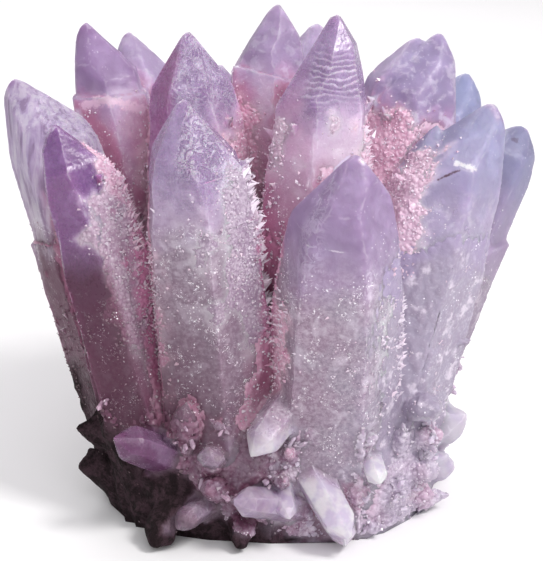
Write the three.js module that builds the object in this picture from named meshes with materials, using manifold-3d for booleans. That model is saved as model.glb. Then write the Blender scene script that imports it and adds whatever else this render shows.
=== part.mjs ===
// A cluster of pink amethyst points that fan up from one rough foot, grown together as one solid.
// Millimetres, +Z up, -Y towards the viewer. The cluster is cut flat at Z = 0, where it stands.
import * as THREE from "three";
import { ConvexGeometry } from "three/addons/geometries/ConvexGeometry.js";
import { mergeVertices } from "three/addons/utils/BufferGeometryUtils.js";
import Module from "manifold-3d";

// Quartz: a six-sided prism that widens a little downwards, under six faces that meet at the apex
const SIDES = 6;
const PRISM_TAPER = 2.1; // degrees that a prism face leans in
const SHOULDER_LEAN = 12; // degrees that the narrow faces between prism and end lean in
const SHOULDER_DROP = [0.2, 0.8]; // of the half width, from the shoulder to where they start
const MINOR_STEEPER = 4; // degrees by which every second end face is steeper
const MINOR_GAP = 0.08; // of the half width, by which those faces miss the apex
const SMALL_END = 36; // degrees between the axis and the end faces of a small point
const UNEVEN = 0.07; // share by which the prism faces differ in their distance from the axis
const BLUNT_LEAN = 58; // degrees that the first worn facet at the apex leans in
const BLUNT_LEAN_STEP = 8; // degrees by which the second one leans in more
const BLUNT_AZIMUTHS = [40, 200]; // where the two worn facets look
const BLUNT_DEPTH = 0.05; // share of the half width that they take off
const ROOT_DEPTH = 6; // mm that every large point starts below the floor
const SMALL_ROOT = 0.2; // share of its width by which a small point starts behind its root
const SMALL_DEPTH = 0.9; // depth of a small point as a share of its width

// The frosted crust that thickens the lower part of a point and runs out irregularly
const CRUST_THICKNESS = 0.5;
const CRUST_RUNOUT = 9; // degrees between the axis and the slope where the crust runs out
const CRUST_UNEVEN = 5; // mm by which its upper limit differs from face to face

// The foot, a rough drum of matrix and small points
const FOOT_HALF_WIDTH = 25.6;
const FOOT_HALF_DEPTH = 21.2;
const FOOT_HEIGHT = 21;
const FOOT_SQUARENESS = 0.84; // 1 is an ellipse, and less than 1 is squarer
const FOOT_SIDES = 20;
const FOOT_LEVELS = 4;
const FOOT_ROUGHNESS = 0.9; // mm by which its surface swells and sinks
const FLOOR_SLAB = 200; // size of the block that takes off everything under Z = 0

// The large points. foot is where the axis crosses Z = 0, crown is level with the apex on the
// axis, and apex is how far the apex lies beside the crown, to the right and away from the viewer.
// width is across the prism under the end faces, and depth is the other way, as a share of width.
// spin turns the faces about the axis, end is the angle between the axis and the end faces, and
// crust is how far up the crust reaches, as a share of the length.
const POINTS = {
  frontLeft: {
    foot: [-6, -9.6], crown: [-10.9, -17, 64], apex: [-0.8, -0.4],
    width: 12.4, depth: 0.88, spin: 8, end: 34, crust: 0.76,
  },
  frontRight: {
    foot: [8.2, -10.4], crown: [10.2, -21.8, 58], apex: [0.9, -1],
    width: 13.6, depth: 0.9, spin: 24, end: 37, crust: 0.7,
  },
  outerLeft: {
    foot: [-13, -9.4], crown: [-29.2, -10, 59], apex: [-0.9, -0.5],
    width: 10.4, depth: 0.95, spin: 10, end: 35, crust: 0.74,
  },
  farLeft: {
    foot: [-14.6, -3], crown: [-35, 2, 63.4], apex: [-2.2, 0.6],
    width: 12, depth: 0.85, spin: 30, end: 38, crust: 0.56,
  },
  backLeft: {
    foot: [-10.5, 1], crown: [-26.5, 12, 69.3], apex: [-1.2, 0.8],
    width: 9.4, depth: 0.9, spin: 0, end: 34, crust: 0.7,
  },
  backLeftTwin: {
    foot: [-8, 6], crown: [-20.8, 18.6, 66.6], apex: [-1, 0.6],
    width: 8.6, depth: 0.9, spin: 22, end: 35, crust: 0.68,
  },
  middleLeft: {
    foot: [-7, -3], crown: [-11.7, 1, 69.6], apex: [-0.2, -0.4],
    width: 11.6, depth: 0.9, spin: 29, end: 33, crust: 0.76,
  },
  lowBackLeft: {
    foot: [-4, 8], crown: [-8.2, 17, 61.8], apex: [0.2, 1],
    width: 7.6, depth: 0.9, spin: 12, end: 36, crust: 0.66,
  },
  topMiddle: {
    foot: [-1.6, 2], crown: [0.3, 8, 72.4], apex: [0.6, 0],
    width: 10, depth: 0.92, spin: 4, end: 34, crust: 0.8,
  },
  tallMiddle: {
    foot: [4, -6], crown: [7.4, -5.6, 73.2], apex: [1.7, 0.2],
    width: 12.4, depth: 0.9, spin: -8, end: 32, crust: 0.76,
  },
  hiddenMiddle: {
    foot: [2.5, 10], crown: [7.2, 19.4, 67.6], apex: [-0.2, 0.8],
    width: 8.6, depth: 0.9, spin: 26, end: 38, crust: 0.68,
  },
  rightShoulder: {
    foot: [9.4, -2], crown: [22.8, 7, 68.7], apex: [1.8, 0],
    width: 12, depth: 0.86, spin: 2, end: 35, crust: 0.66,
  },
  rightShoulderTwin: {
    foot: [8, -2], crown: [20, 8, 67.8], apex: [1.4, 0],
    width: 9.4, depth: 0.9, spin: 16, end: 40, crust: 0.66,
  },
  behindRight: {
    foot: [11.4, 5], crown: [28.8, 16, 60.9], apex: [1, 0.6],
    width: 9.8, depth: 0.9, spin: 20, end: 39, crust: 0.6,
  },
  outerRight: {
    foot: [10.8, -7.6], crown: [28.8, -4, 61.2], apex: [2.7, 0.8],
    width: 14, depth: 0.9, spin: 20, end: 37, crust: 0.72,
  },
  farRight: {
    foot: [11.6, 1], crown: [36.6, 7, 55], apex: [0.8, 0],
    width: 9, depth: 0.95, spin: 26, end: 42, crust: 0.6,
  },
  smallRight: {
    foot: [11.5, -4], crown: [23.6, -3, 57], apex: [0, 0],
    width: 5.8, depth: 0.95, spin: 14, end: 32, crust: 0.7,
  },
  rearFarLeft: {
    foot: [-12.4, 6], crown: [-30, 18, 52], apex: [-1, 1],
    width: 9.4, depth: 0.92, spin: 6, end: 36, crust: 0.66,
  },
  rearLeft: {
    foot: [-9.6, 9], crown: [-22.6, 26, 56], apex: [-1, 1.2],
    width: 10.6, depth: 0.9, spin: 16, end: 35, crust: 0.68,
  },
  rearMiddleLeft: {
    foot: [-4.5, 11], crown: [-11.6, 29, 50], apex: [0, 1.4],
    width: 11.6, depth: 0.88, spin: 28, end: 37, crust: 0.64,
  },
  rearMiddle: {
    foot: [2, 12], crown: [1.4, 30.4, 58], apex: [0.8, 1.2],
    width: 12.2, depth: 0.9, spin: 6, end: 33, crust: 0.7,
  },
  rearMiddleRight: {
    foot: [7, 11], crown: [14.4, 27.6, 52], apex: [-0.8, 1],
    width: 10.8, depth: 0.9, spin: 20, end: 36, crust: 0.66,
  },
  rearRight: {
    foot: [11, 8], crown: [26.4, 23.6, 49], apex: [1, 1],
    width: 9.8, depth: 0.92, spin: 10, end: 35, crust: 0.64,
  },
};

// Collars: a later growth that ends in a distinct rim. at is a share of the length, and lean
// tips the rim down towards an azimuth.
const COLLARS = [
  { on: "backLeft", at: 0.845, thickness: 0.7, lean: 9, towards: 330 },
  { on: "topMiddle", at: 0.85, thickness: 0.35, lean: 16, towards: 30 },
  { on: "farRight", at: 0.68, thickness: 0.7, lean: 24, towards: 200 },
  { on: "farLeft", at: 0.6, thickness: 0.65, lean: 22, towards: 20 },
  { on: "rightShoulder", at: 0.7, thickness: 0.8, lean: 26, towards: 250 },
  { on: "rearMiddle", at: 0.66, thickness: 0.9, lean: 28, towards: 60 },
  { on: "rearLeft", at: 0.58, thickness: 0.9, lean: 24, towards: 140 },
];

// Slim points that cling to a large one, side by side with it. out is how far the slim point's
// axis lies from the large one's, as a share of its half width.
const SLIM_POINTS = [
  { on: "farLeft", azimuth: 300, out: 0.8, top: 0.62, width: 0.5 },
  { on: "outerLeft", azimuth: 200, out: 0.75, top: 0.52, width: 0.5 },
  { on: "frontLeft", azimuth: 350, out: 0.85, top: 0.5, width: 0.42 },
  { on: "frontLeft", azimuth: 188, out: 0.82, top: 0.5, width: 0.34 },
  { on: "frontRight", azimuth: 10, out: 0.85, top: 0.6, width: 0.4 },
  { on: "middleLeft", azimuth: 320, out: 0.85, top: 0.72, width: 0.44 },
  { on: "tallMiddle", azimuth: 330, out: 0.9, top: 0.66, width: 0.5 },
  { on: "tallMiddle", azimuth: 190, out: 0.85, top: 0.64, width: 0.46 },
  { on: "rightShoulder", azimuth: 240, out: 0.95, top: 0.7, width: 0.46 },
  { on: "rightShoulder", azimuth: 290, out: 1, top: 0.64, width: 0.4 },
  { on: "outerRight", azimuth: 300, out: 0.85, top: 0.5, width: 0.42 },
  { on: "outerRight", azimuth: 20, out: 0.8, top: 0.56, width: 0.46 },
  { on: "topMiddle", azimuth: 280, out: 0.9, top: 0.7, width: 0.5 },
  { on: "backLeft", azimuth: 100, out: 0.8, top: 0.6, width: 0.5 },
  { on: "rearFarLeft", azimuth: 160, out: 0.8, top: 0.6, width: 0.5 },
  { on: "rearLeft", azimuth: 70, out: 0.85, top: 0.62, width: 0.5 },
  { on: "rearMiddleLeft", azimuth: 110, out: 0.85, top: 0.55, width: 0.44 },
  { on: "rearMiddle", azimuth: 60, out: 0.9, top: 0.6, width: 0.44 },
  { on: "rearMiddleRight", azimuth: 40, out: 0.85, top: 0.64, width: 0.46 },
  { on: "rearRight", azimuth: 350, out: 0.85, top: 0.6, width: 0.5 },
];

// Teeth: rows of small pointed crystals on a side of a large point, from a share of its length
// up to another share, over a range of azimuths
const TOOTH_LENGTH = [1.2, 2.1];
const TOOTH_RADIUS = 0.55; // radius of its root, as a share of the length
const TOOTH_SUNK = 0.5; // how far its root lies inside what carries it, as a share of the length
const TOOTH_SWING = [-25, 25]; // degrees that it turns aside from the face that it stands on
const TOOTH_PITCH = [10, 62]; // degrees that it points upwards, along the large point's axis
const TEETH = [
  { on: "frontLeft", rise: [0.38, 0.9], azimuths: [-26, 2], count: 28 },
  { on: "frontLeft", rise: [0.45, 0.7], azimuths: [184, 206], count: 5 },
  { on: "outerLeft", rise: [0.42, 0.88], azimuths: [-56, 8], count: 24 },
  { on: "farLeft", rise: [0.4, 0.6], azimuths: [180, 250], count: 5 },
  { on: "frontRight", rise: [0.42, 0.7], azimuths: [175, 215], count: 6 },
  { on: "frontRight", rise: [0.45, 0.78], azimuths: [-26, 4], count: 6 },
  { on: "tallMiddle", rise: [0.55, 0.8], azimuths: [170, 235], count: 8 },
  { on: "tallMiddle", rise: [0.65, 0.86], azimuths: [-40, 5], count: 7 },
  { on: "middleLeft", rise: [0.68, 0.84], azimuths: [-60, 0], count: 6 },
  { on: "rightShoulder", rise: [0.6, 0.84], azimuths: [200, 260], count: 12 },
  { on: "outerRight", rise: [0.6, 0.84], azimuths: [165, 230], count: 8 },
  { on: "outerRight", rise: [0.45, 0.6], azimuths: [-30, 10], count: 4 },
  { on: "rearLeft", rise: [0.45, 0.74], azimuths: [40, 130], count: 7 },
  { on: "rearMiddleLeft", rise: [0.42, 0.7], azimuths: [60, 150], count: 7 },
  { on: "rearMiddle", rise: [0.45, 0.74], azimuths: [30, 150], count: 9 },
  { on: "rearMiddleRight", rise: [0.45, 0.7], azimuths: [10, 110], count: 7 },
];

// Small points that stand out of the foot, placed by hand: root, tip and width
const FOOT_POINTS = [
  { root: [3.6, -16.5, 21.5], tip: [-3, -25.6, 15.2], width: 4.6 }, // the clear one at the middle
  { root: [-13.5, -16, 10.5], tip: [-22, -23, 17.2], width: 5 }, // the violet one at the left
  { root: [5, -18, 4.6], tip: [-5.6, -26.4, 9.2], width: 4 }, // lying to the left
  { root: [4.6, -17.5, 11.5], tip: [11, -27.2, 3.4], width: 4.2 }, // hanging to the right
  { root: [13, -15, 13.4], tip: [15, -25, 11], width: 3 },
  { root: [1, -18, 9], tip: [2.6, -26, 6], width: 2.6 },
  { root: [22, -4, 9.6], tip: [29.4, -7.6, 14.6], width: 5.6 }, // the stout one at the right
  { root: [21, -6, 5], tip: [27.8, -9, 7], width: 4.8 },
  { root: [-13.4, -17, 5], tip: [-17, -25, 1], width: 4.6 },
  { root: [-4, -18, 4], tip: [-4.6, -25.6, 1.2], width: 3.6 },
  { root: [9, -17, 4.4], tip: [10.4, -25, 1.6], width: 3.6 },
  { root: [-8, -18, 6], tip: [-13.6, -25.4, 4.4], width: 3.4 },
  { root: [-21, -8, 12], tip: [-28.8, -11, 13.4], width: 6 },
  { root: [-21, -6, 5], tip: [-28.8, -9, 7], width: 6.4 },
  { root: [19, -11, 17], tip: [23.4, -19.4, 20], width: 4.4 },
];

// The other small points of the foot, set all round in loops
const RINGS = [
  { count: 18, level: 3, length: [1.6, 3.2], width: [2.8, 4.4], pitch: [-4, 26] },
  { count: 20, level: 8, length: [1.8, 4], width: [2.6, 4.4], pitch: [0, 44] },
  { count: 20, level: 13, length: [2.2, 4.6], width: [2.6, 4.4], pitch: [10, 58] },
  { count: 18, level: 18, length: [3, 6], width: [2.6, 4.4], pitch: [30, 74] },
];
const RING_BEARING = [-0.4, 0.4]; // how far a point strays, as a share of the spacing
const RING_LEVEL = [-2, 2]; // mm that it strays up or down
const RING_SWING = [-34, 34]; // degrees that it turns aside from the foot's centre
const RING_ROOT = 1.2; // depth of its root under the surface, as a share of its width

// A bare end, as shares of the point's width and length
const BARE_RADIUS = 0.62;
const BARE_LENGTH = 1; // that stands out of the foot
const BARE_SUNK = 0.7; // that lies inside it

// How far the foot is drawn in at the floor and at its top, as shares of its half width
const FOOT_WAIST_AT = 0.4; // the level where it is widest, as a share of its height
const FOOT_BULGE = 0.22;
const FOOT_TOP_ROUNDING = 0.12;

// Where the random numbers of the foot's small points start
const HAND_SEED = 800;
const RING_SEED = 900;
const RING_POINT_SEED = 1000;
const RING_POINT_SEED_STEP = 50;

// Tolerances
const PARALLEL = 1e-6; // three faces whose directions span less meet in no point
const INSIDE = 1e-4; // mm that a corner may lie outside a face
const SAME_CORNER = 0.02; // mm within which two corners are one
const SAME_VERTEX = 1e-4; // mm within which two vertices are one
const FACING = 1e-3; // a face that a ray leaves through looks along it by more than this
const NEARLY_ALONG_X = 0.9; // an axis beyond this takes its bearings from Y instead of X
const FLOOR_OVERLAP = 0.01; // mm that the drum reaches below the floor

const radians = THREE.MathUtils.degToRad;
const UP = new THREE.Vector3(0, 0, 1);
const wasm = await Module();
wasm.setup();

// A repeatable source of random numbers from 0 to 1
function randomFrom(seed) {
  let state = (seed * 2654435761) % 4294967296;
  return () => {
    state = (state * 1664525 + 1013904223) % 4294967296;
    return state / 4294967296;
  };
}

// A random number from a range
const between = (random, [low, high]) => low + (high - low) * random();

// The direction at an azimuth and a lean above the horizontal
function direction(azimuth, lean) {
  const a = radians(azimuth);
  const l = radians(lean);
  return new THREE.Vector3(Math.cos(a) * Math.cos(l), Math.sin(a) * Math.cos(l), Math.sin(l));
}

// A face that looks outwards in a direction and passes through a point
function faceThrough(normal, point) {
  return new THREE.Plane(normal, -normal.dot(point));
}

// The corner where three faces meet, or null where they meet in no one point
function corner(a, b, c) {
  const bc = b.normal.clone().cross(c.normal);
  const scale = a.normal.dot(bc);
  if (Math.abs(scale) < PARALLEL) return null;
  return bc
    .multiplyScalar(-a.constant)
    .addScaledVector(c.normal.clone().cross(a.normal), -b.constant)
    .addScaledVector(a.normal.clone().cross(b.normal), -c.constant)
    .divideScalar(scale);
}

// The convex body inside a list of faces
function bodyInside(faces) {
  const corners = [];
  for (let i = 0; i < faces.length; i++)
    for (let j = i + 1; j < faces.length; j++)
      for (let k = j + 1; k < faces.length; k++) {
        const p = corner(faces[i], faces[j], faces[k]);
        if (!p || faces.some((f) => f.distanceToPoint(p) > INSIDE)) continue;
        if (!corners.some((q) => q.distanceTo(p) < SAME_CORNER)) corners.push(p);
      }
  return new ConvexGeometry(corners);
}

// A closed three.js geometry as a solid that can be joined and cut
function solidOf(geometry) {
  const plain = geometry.index ? geometry.toNonIndexed() : geometry;
  const bare = new THREE.BufferGeometry();
  bare.setAttribute("position", plain.getAttribute("position"));
  const merged = mergeVertices(bare, SAME_VERTEX);
  return new wasm.Manifold(
    new wasm.Mesh({
      numProp: 3,
      vertProperties: merged.attributes.position.array,
      triVerts: new Uint32Array(merged.index.array),
    }),
  );
}

// The placement of a point whose axis runs from one place towards another
function frameAlong(from, to) {
  const up = to.clone().sub(from).normalize();
  const alongX = Math.abs(up.x) > NEARLY_ALONG_X;
  const hint = new THREE.Vector3(alongX ? 0 : 1, alongX ? 1 : 0, 0);
  const right = hint.sub(up.clone().multiplyScalar(hint.dot(up))).normalize();
  return new THREE.Matrix4().makeBasis(right, up.clone().cross(right), up).setPosition(from);
}

// The prism of a point in its own frame: its faces pass the half widths at a level
function prismFaces(shape, level, extra = 0) {
  const random = randomFrom(shape.seed);
  return Array.from({ length: SIDES }, (_, k) => {
    const azimuth = shape.spin + (360 / SIDES) * k;
    const side = direction(azimuth, 0);
    const even = Math.hypot(side.x * shape.halfWidth, side.y * shape.halfDepth);
    const reach = even * (1 + UNEVEN * between(random, [-1, 1])) + extra;
    const place = side.clone().multiplyScalar(reach).setZ(level);
    return faceThrough(direction(azimuth, PRISM_TAPER), place);
  });
}

// Six end faces that meet at the apex, the minor ones steeper
function endFaces(shape) {
  return Array.from({ length: SIDES }, (_, k) => {
    const minor = k % 2 === 1;
    const azimuth = shape.spin + (360 / SIDES) * k;
    const lean = shape.end - (minor ? MINOR_STEEPER : 0);
    const made = faceThrough(direction(azimuth, lean), shape.apex);
    if (minor) made.constant -= MINOR_GAP * shape.halfWidth;
    return made;
  });
}

// Narrow shoulders under four of the end faces
function shoulderFaces(shape) {
  const random = randomFrom(shape.seed + 1);
  const shoulders = prismFaces(shape, shape.level).map((prism, k) => {
    const azimuth = shape.spin + (360 / SIDES) * k;
    const drop = shape.halfWidth * between(random, SHOULDER_DROP);
    const side = direction(azimuth, 0);
    const axis = new THREE.Vector3(0, 0, shape.level - drop);
    const reach = -prism.distanceToPoint(axis) / prism.normal.dot(side);
    return faceThrough(direction(azimuth, SHOULDER_LEAN), axis.addScaledVector(side, reach));
  });
  return shoulders.filter((_, k) => k % 3 !== 1);
}

// Small facets that take off the very tip
function wornFaces(shape) {
  return BLUNT_AZIMUTHS.map((azimuth, k) => {
    const lean = BLUNT_LEAN + BLUNT_LEAN_STEP * k;
    const made = faceThrough(direction(shape.spin + azimuth, lean), shape.apex);
    made.constant += BLUNT_DEPTH * shape.halfWidth;
    return made;
  });
}

// The face that closes a point at its root
const rootFace = (depth) => new THREE.Plane(new THREE.Vector3(0, 0, -1), -depth);

// The measures of a point in its own frame, from what the tables above give
function shapeOf(width, depth, spin, end, apex, seed) {
  const halfWidth = width / 2;
  const level = apex.z - halfWidth / Math.tan(radians(end));
  return { halfWidth, halfDepth: halfWidth * depth, spin, end, apex, level, seed };
}

// A large point without its crust
function crystal(shape) {
  return solidOf(
    bodyInside([
      ...prismFaces(shape, shape.level),
      ...shoulderFaces(shape),
      ...endFaces(shape),
      ...wornFaces(shape),
      rootFace(ROOT_DEPTH),
    ]),
  );
}

// The crust of a point: a slightly thicker prism that runs out at a different height on each face
function crust(shape, reach) {
  const random = randomFrom(shape.seed + 2);
  const runout = prismFaces(shape, shape.level, CRUST_THICKNESS).map((prism, k) => {
    const azimuth = shape.spin + (360 / SIDES) * k;
    const side = direction(azimuth, 0);
    const axis = new THREE.Vector3(0, 0, reach - CRUST_UNEVEN * random());
    const out = -prism.distanceToPoint(axis) / prism.normal.dot(side);
    return faceThrough(direction(azimuth, CRUST_RUNOUT), axis.addScaledVector(side, out));
  });
  const cap = faceThrough(UP, new THREE.Vector3(0, 0, reach + CRUST_UNEVEN));
  const thick = prismFaces(shape, shape.level, CRUST_THICKNESS);
  return solidOf(bodyInside([...thick, ...runout, cap, rootFace(ROOT_DEPTH)]));
}

// A collar: the same prism, thicker, cut off by a tipped rim
function collar(shape, spec, length) {
  const top = new THREE.Vector3(0, 0, length * spec.at);
  const faces = prismFaces(shape, shape.level, spec.thickness);
  const rim = faceThrough(direction(spec.towards, 90 - spec.lean), top);
  return solidOf(bodyInside([...faces, rim, rootFace(ROOT_DEPTH)]));
}

// Where a ray from the axis leaves the prism
function surfaceAt(faces, level, azimuth) {
  const start = new THREE.Vector3(0, 0, level);
  const side = direction(azimuth, 0);
  const reaches = faces
    .filter((f) => f.normal.dot(side) > FACING)
    .map((f) => -f.distanceToPoint(start) / f.normal.dot(side));
  return start.addScaledVector(side, Math.min(...reaches));
}

// A tooth: a three-sided point whose root lies inside what carries it
function tooth(place, towards, length) {
  const tall = length * (1 + TOOTH_SUNK);
  const point = new THREE.ConeGeometry(length * TOOTH_RADIUS, tall, 3);
  point.rotateX(Math.PI / 2).translate(0, 0, length - tall / 2);
  return solidOf(point).transform(frameAlong(place, place.clone().add(towards)).elements);
}

// One row of teeth, on the prism of a large point and half sunk in its crust
function teethOn(row, shape, length, seed) {
  const random = randomFrom(seed);
  const faces = prismFaces(shape, shape.level, CRUST_THICKNESS * 0.5);
  return Array.from({ length: row.count }, () => {
    const level = between(random, row.rise) * length;
    const azimuth = between(random, row.azimuths);
    const place = surfaceAt(faces, level, azimuth);
    const turned = azimuth + between(random, TOOTH_SWING);
    const towards = direction(turned, between(random, TOOTH_PITCH));
    return tooth(place, towards, between(random, TOOTH_LENGTH));
  });
}

// A large point with its crust, its collar, its slim neighbours and its teeth
function largePoint([name, spec], order) {
  const foot = new THREE.Vector3(...spec.foot, 0);
  const crown = new THREE.Vector3(...spec.crown);
  const length = crown.distanceTo(foot);
  const apex = new THREE.Vector3(...spec.apex, length);
  const seed = 10 * (order + 1);
  const shape = shapeOf(spec.width, spec.depth, spec.spin, spec.end, apex, seed);
  const here = (row) => row.on === name;
  const grown = [
    crystal(shape),
    crust(shape, length * spec.crust),
    ...COLLARS.filter(here).map((c) => collar(shape, c, length)),
    ...SLIM_POINTS.filter(here).map((s) => slimPoint(s, shape, length)),
    ...TEETH.filter(here).flatMap((row, k) => teethOn(row, shape, length, seed + 3 + k)),
  ];
  return wasm.Manifold.union(grown).transform(frameAlong(foot, crown).elements);
}

// A slim point beside a large one, leaning in with the face that it clings to
function slimPoint(spec, shape, length) {
  const side = direction(spec.azimuth, 0);
  const top = length * spec.top;
  const out = spec.out * Math.hypot(side.x * shape.halfWidth, side.y * shape.halfDepth);
  const root = side.clone().multiplyScalar(out + Math.tan(radians(PRISM_TAPER)) * top);
  const tip = side.clone().multiplyScalar(out).setZ(top);
  const width = 2 * shape.halfWidth * spec.width;
  return smallPoint(root, tip, width, shape.seed + spec.azimuth, shape.spin);
}

// A small point from its root to its tip: a prism under six equal end faces
function smallPoint(root, tip, width, seed, spin = 13 * seed) {
  const apex = new THREE.Vector3(0, 0, tip.distanceTo(root));
  const shape = shapeOf(width, SMALL_DEPTH, spin, SMALL_END, apex, seed);
  const prism = prismFaces(shape, shape.level);
  const faces = [...prism, ...equalEnds(shape), rootFace(SMALL_ROOT * width)];
  return solidOf(bodyInside(faces)).transform(frameAlong(root, tip).elements);
}

// The six end faces of a small point, all alike
function equalEnds(shape) {
  return Array.from({ length: SIDES }, (_, k) => {
    const azimuth = shape.spin + (360 / SIDES) * k;
    return faceThrough(direction(azimuth, shape.end), shape.apex);
  });
}

// The bare end of a point whose prism is hidden: six faces and no sides
function bareEnd(surface, towards, width, length) {
  const tall = (BARE_LENGTH + BARE_SUNK) * length;
  const end = new THREE.ConeGeometry(BARE_RADIUS * width, tall, SIDES);
  end.rotateX(Math.PI / 2).translate(0, 0, BARE_LENGTH * length - tall / 2);
  return solidOf(end).transform(frameAlong(surface, surface.clone().add(towards)).elements);
}

// The surface of the foot at a bearing: a rounded oblong, drawn in at the floor and the top
function footSurface(bearing, level) {
  const share = level / FOOT_HEIGHT;
  const bulge = FOOT_BULGE * (share - FOOT_WAIST_AT) ** 2;
  const drawnIn = 1 - bulge - FOOT_TOP_ROUNDING * share ** 6;
  const side = direction(bearing, 0);
  const x = Math.sign(side.x) * Math.abs(side.x) ** FOOT_SQUARENESS * FOOT_HALF_WIDTH;
  const y = Math.sign(side.y) * Math.abs(side.y) ** FOOT_SQUARENESS * FOOT_HALF_DEPTH;
  return new THREE.Vector3(x * drawnIn, y * drawnIn, level);
}

// Small points of the foot at one level, rooted a few millimetres under its surface. Every
// second one shows only its end.
function ringOfPoints(ring, order) {
  const random = randomFrom(RING_SEED + order);
  return Array.from({ length: ring.count }, (_, k) => {
    const bearing = (360 / ring.count) * (k + between(random, RING_BEARING));
    const surface = footSurface(bearing, ring.level + between(random, RING_LEVEL));
    const turned = bearing + between(random, RING_SWING);
    const towards = direction(turned, between(random, ring.pitch));
    const length = between(random, ring.length);
    const width = between(random, ring.width);
    if (k % 2) return bareEnd(surface, towards, width, length);
    const root = surface.clone().addScaledVector(towards, -RING_ROOT * width);
    const tip = surface.clone().addScaledVector(towards, length);
    const seed = RING_POINT_SEED + RING_POINT_SEED_STEP * order + k;
    return smallPoint(root, tip, width, seed);
  });
}

// Swells and hollows of the foot's surface, from about -1 to 1
const swell = (p) => (Math.sin(5.3 * p.x + 2 * p.z) + Math.cos(7.1 * p.y - 1.3 * p.z)) / 2;

// The foot itself: a squat drum with a rough surface
function footDrum() {
  const drum = new THREE.CylinderGeometry(1, 1, FOOT_HEIGHT, FOOT_SIDES, FOOT_LEVELS);
  drum.rotateX(Math.PI / 2).translate(0, 0, FOOT_HEIGHT / 2);
  const position = drum.getAttribute("position");
  const p = new THREE.Vector3();
  for (let i = 0; i < position.count; i++) {
    p.fromBufferAttribute(position, i);
    if (Math.hypot(p.x, p.y) < 0.5) continue; // the middle of an end
    const bearing = THREE.MathUtils.radToDeg(Math.atan2(p.y, p.x));
    const surface = footSurface(bearing, p.z);
    const outwards = direction(bearing, 0).multiplyScalar(FOOT_ROUGHNESS * swell(p));
    position.setXYZ(i, ...surface.add(outwards).toArray());
  }
  return solidOf(drum.translate(0, 0, -FLOOR_OVERLAP));
}

// Takes off everything below the floor, and leaves a flat face to stand on
function cutAtFloor(solid) {
  const block = new THREE.BoxGeometry(FLOOR_SLAB, FLOOR_SLAB, FLOOR_SLAB);
  return solid.subtract(solidOf(block.translate(0, 0, -FLOOR_SLAB / 2)));
}

// The one outer body, without the small voids shut in between the points
function outerBody(solid) {
  return solid.decompose().reduce((a, b) => (a.volume() > b.volume() ? a : b));
}

// Stands the middle of the cluster's box on the origin
function centred(solid) {
  const { min, max } = solid.boundingBox();
  return solid.translate(-(min[0] + max[0]) / 2, -(min[1] + max[1]) / 2, 0);
}

// A joined solid as a three.js geometry
function geometryOf(solid) {
  const mesh = solid.getMesh();
  const made = new THREE.BufferGeometry();
  made.setAttribute("position", new THREE.BufferAttribute(new Float32Array(mesh.vertProperties), 3));
  made.setIndex(new THREE.BufferAttribute(new Uint32Array(mesh.triVerts), 1));
  made.computeVertexNormals();
  return made;
}

const handPlaced = FOOT_POINTS.map((p, k) =>
  smallPoint(new THREE.Vector3(...p.root), new THREE.Vector3(...p.tip), p.width, HAND_SEED + k),
);
const grown = wasm.Manifold.union([
  footDrum(),
  ...Object.entries(POINTS).map(largePoint),
  ...handPlaced,
  ...RINGS.flatMap(ringOfPoints),
]);
const cluster = centred(outerBody(cutAtFloor(grown)));

const amethyst = new THREE.Mesh(
  geometryOf(cluster),
  new THREE.MeshStandardMaterial({ color: 0xb493b8, roughness: 0.32, metalness: 0 }),
);
amethyst.name = "crystal_cluster";

const part = new THREE.Group();
part.add(amethyst);

export default part;
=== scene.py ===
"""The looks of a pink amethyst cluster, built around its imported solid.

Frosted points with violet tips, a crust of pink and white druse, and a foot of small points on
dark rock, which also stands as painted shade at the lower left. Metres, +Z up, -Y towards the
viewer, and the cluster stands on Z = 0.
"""

import math
from typing import NamedTuple

import bmesh
import bpy
import numpy as np
from bpy.props import FloatProperty, FloatVectorProperty, IntProperty, PointerProperty
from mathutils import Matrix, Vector, noise
from mathutils.bvhtree import BVHTree


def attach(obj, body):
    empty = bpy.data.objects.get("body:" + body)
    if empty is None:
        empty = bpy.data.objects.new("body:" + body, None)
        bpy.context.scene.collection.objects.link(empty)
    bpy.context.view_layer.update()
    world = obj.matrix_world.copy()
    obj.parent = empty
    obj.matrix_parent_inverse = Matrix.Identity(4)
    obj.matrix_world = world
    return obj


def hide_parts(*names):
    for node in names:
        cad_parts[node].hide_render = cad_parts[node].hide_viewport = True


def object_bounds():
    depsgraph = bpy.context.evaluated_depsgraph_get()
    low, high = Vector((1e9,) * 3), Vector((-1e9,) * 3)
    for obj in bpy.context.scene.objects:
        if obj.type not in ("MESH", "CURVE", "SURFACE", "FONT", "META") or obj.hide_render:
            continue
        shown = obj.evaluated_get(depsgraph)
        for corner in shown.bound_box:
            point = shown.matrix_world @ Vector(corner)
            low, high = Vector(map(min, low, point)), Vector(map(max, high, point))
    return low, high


bl_info = {
    "name": "Pink Amethyst Cluster",
    "version": (1, 0, 0),
    "blender": (4, 5, 0),
    "location": "3D View > Sidebar > Amethyst",
    "description": "Dresses the packed cluster with frosted points, druse and a studio",
    "category": "Object",
}

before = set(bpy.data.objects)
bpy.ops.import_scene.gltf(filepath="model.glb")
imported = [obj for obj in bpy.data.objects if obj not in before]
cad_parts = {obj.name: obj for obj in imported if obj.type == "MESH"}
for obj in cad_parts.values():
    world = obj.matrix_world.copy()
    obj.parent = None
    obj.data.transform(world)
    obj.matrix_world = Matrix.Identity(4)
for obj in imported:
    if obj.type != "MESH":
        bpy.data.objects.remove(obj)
CAD_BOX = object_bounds()

MM = 0.001
SOLID = "crystal_cluster"
# The middle of the cluster's box, seen from the frame in which the points below are written
BOX_MIDDLE = np.array([0.2476, 3.4571, 0])
PRISM_TAPER = math.radians(2.1)
TIP_HEIGHT = 0.7  # of a point's width: how far its end faces reach


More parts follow.
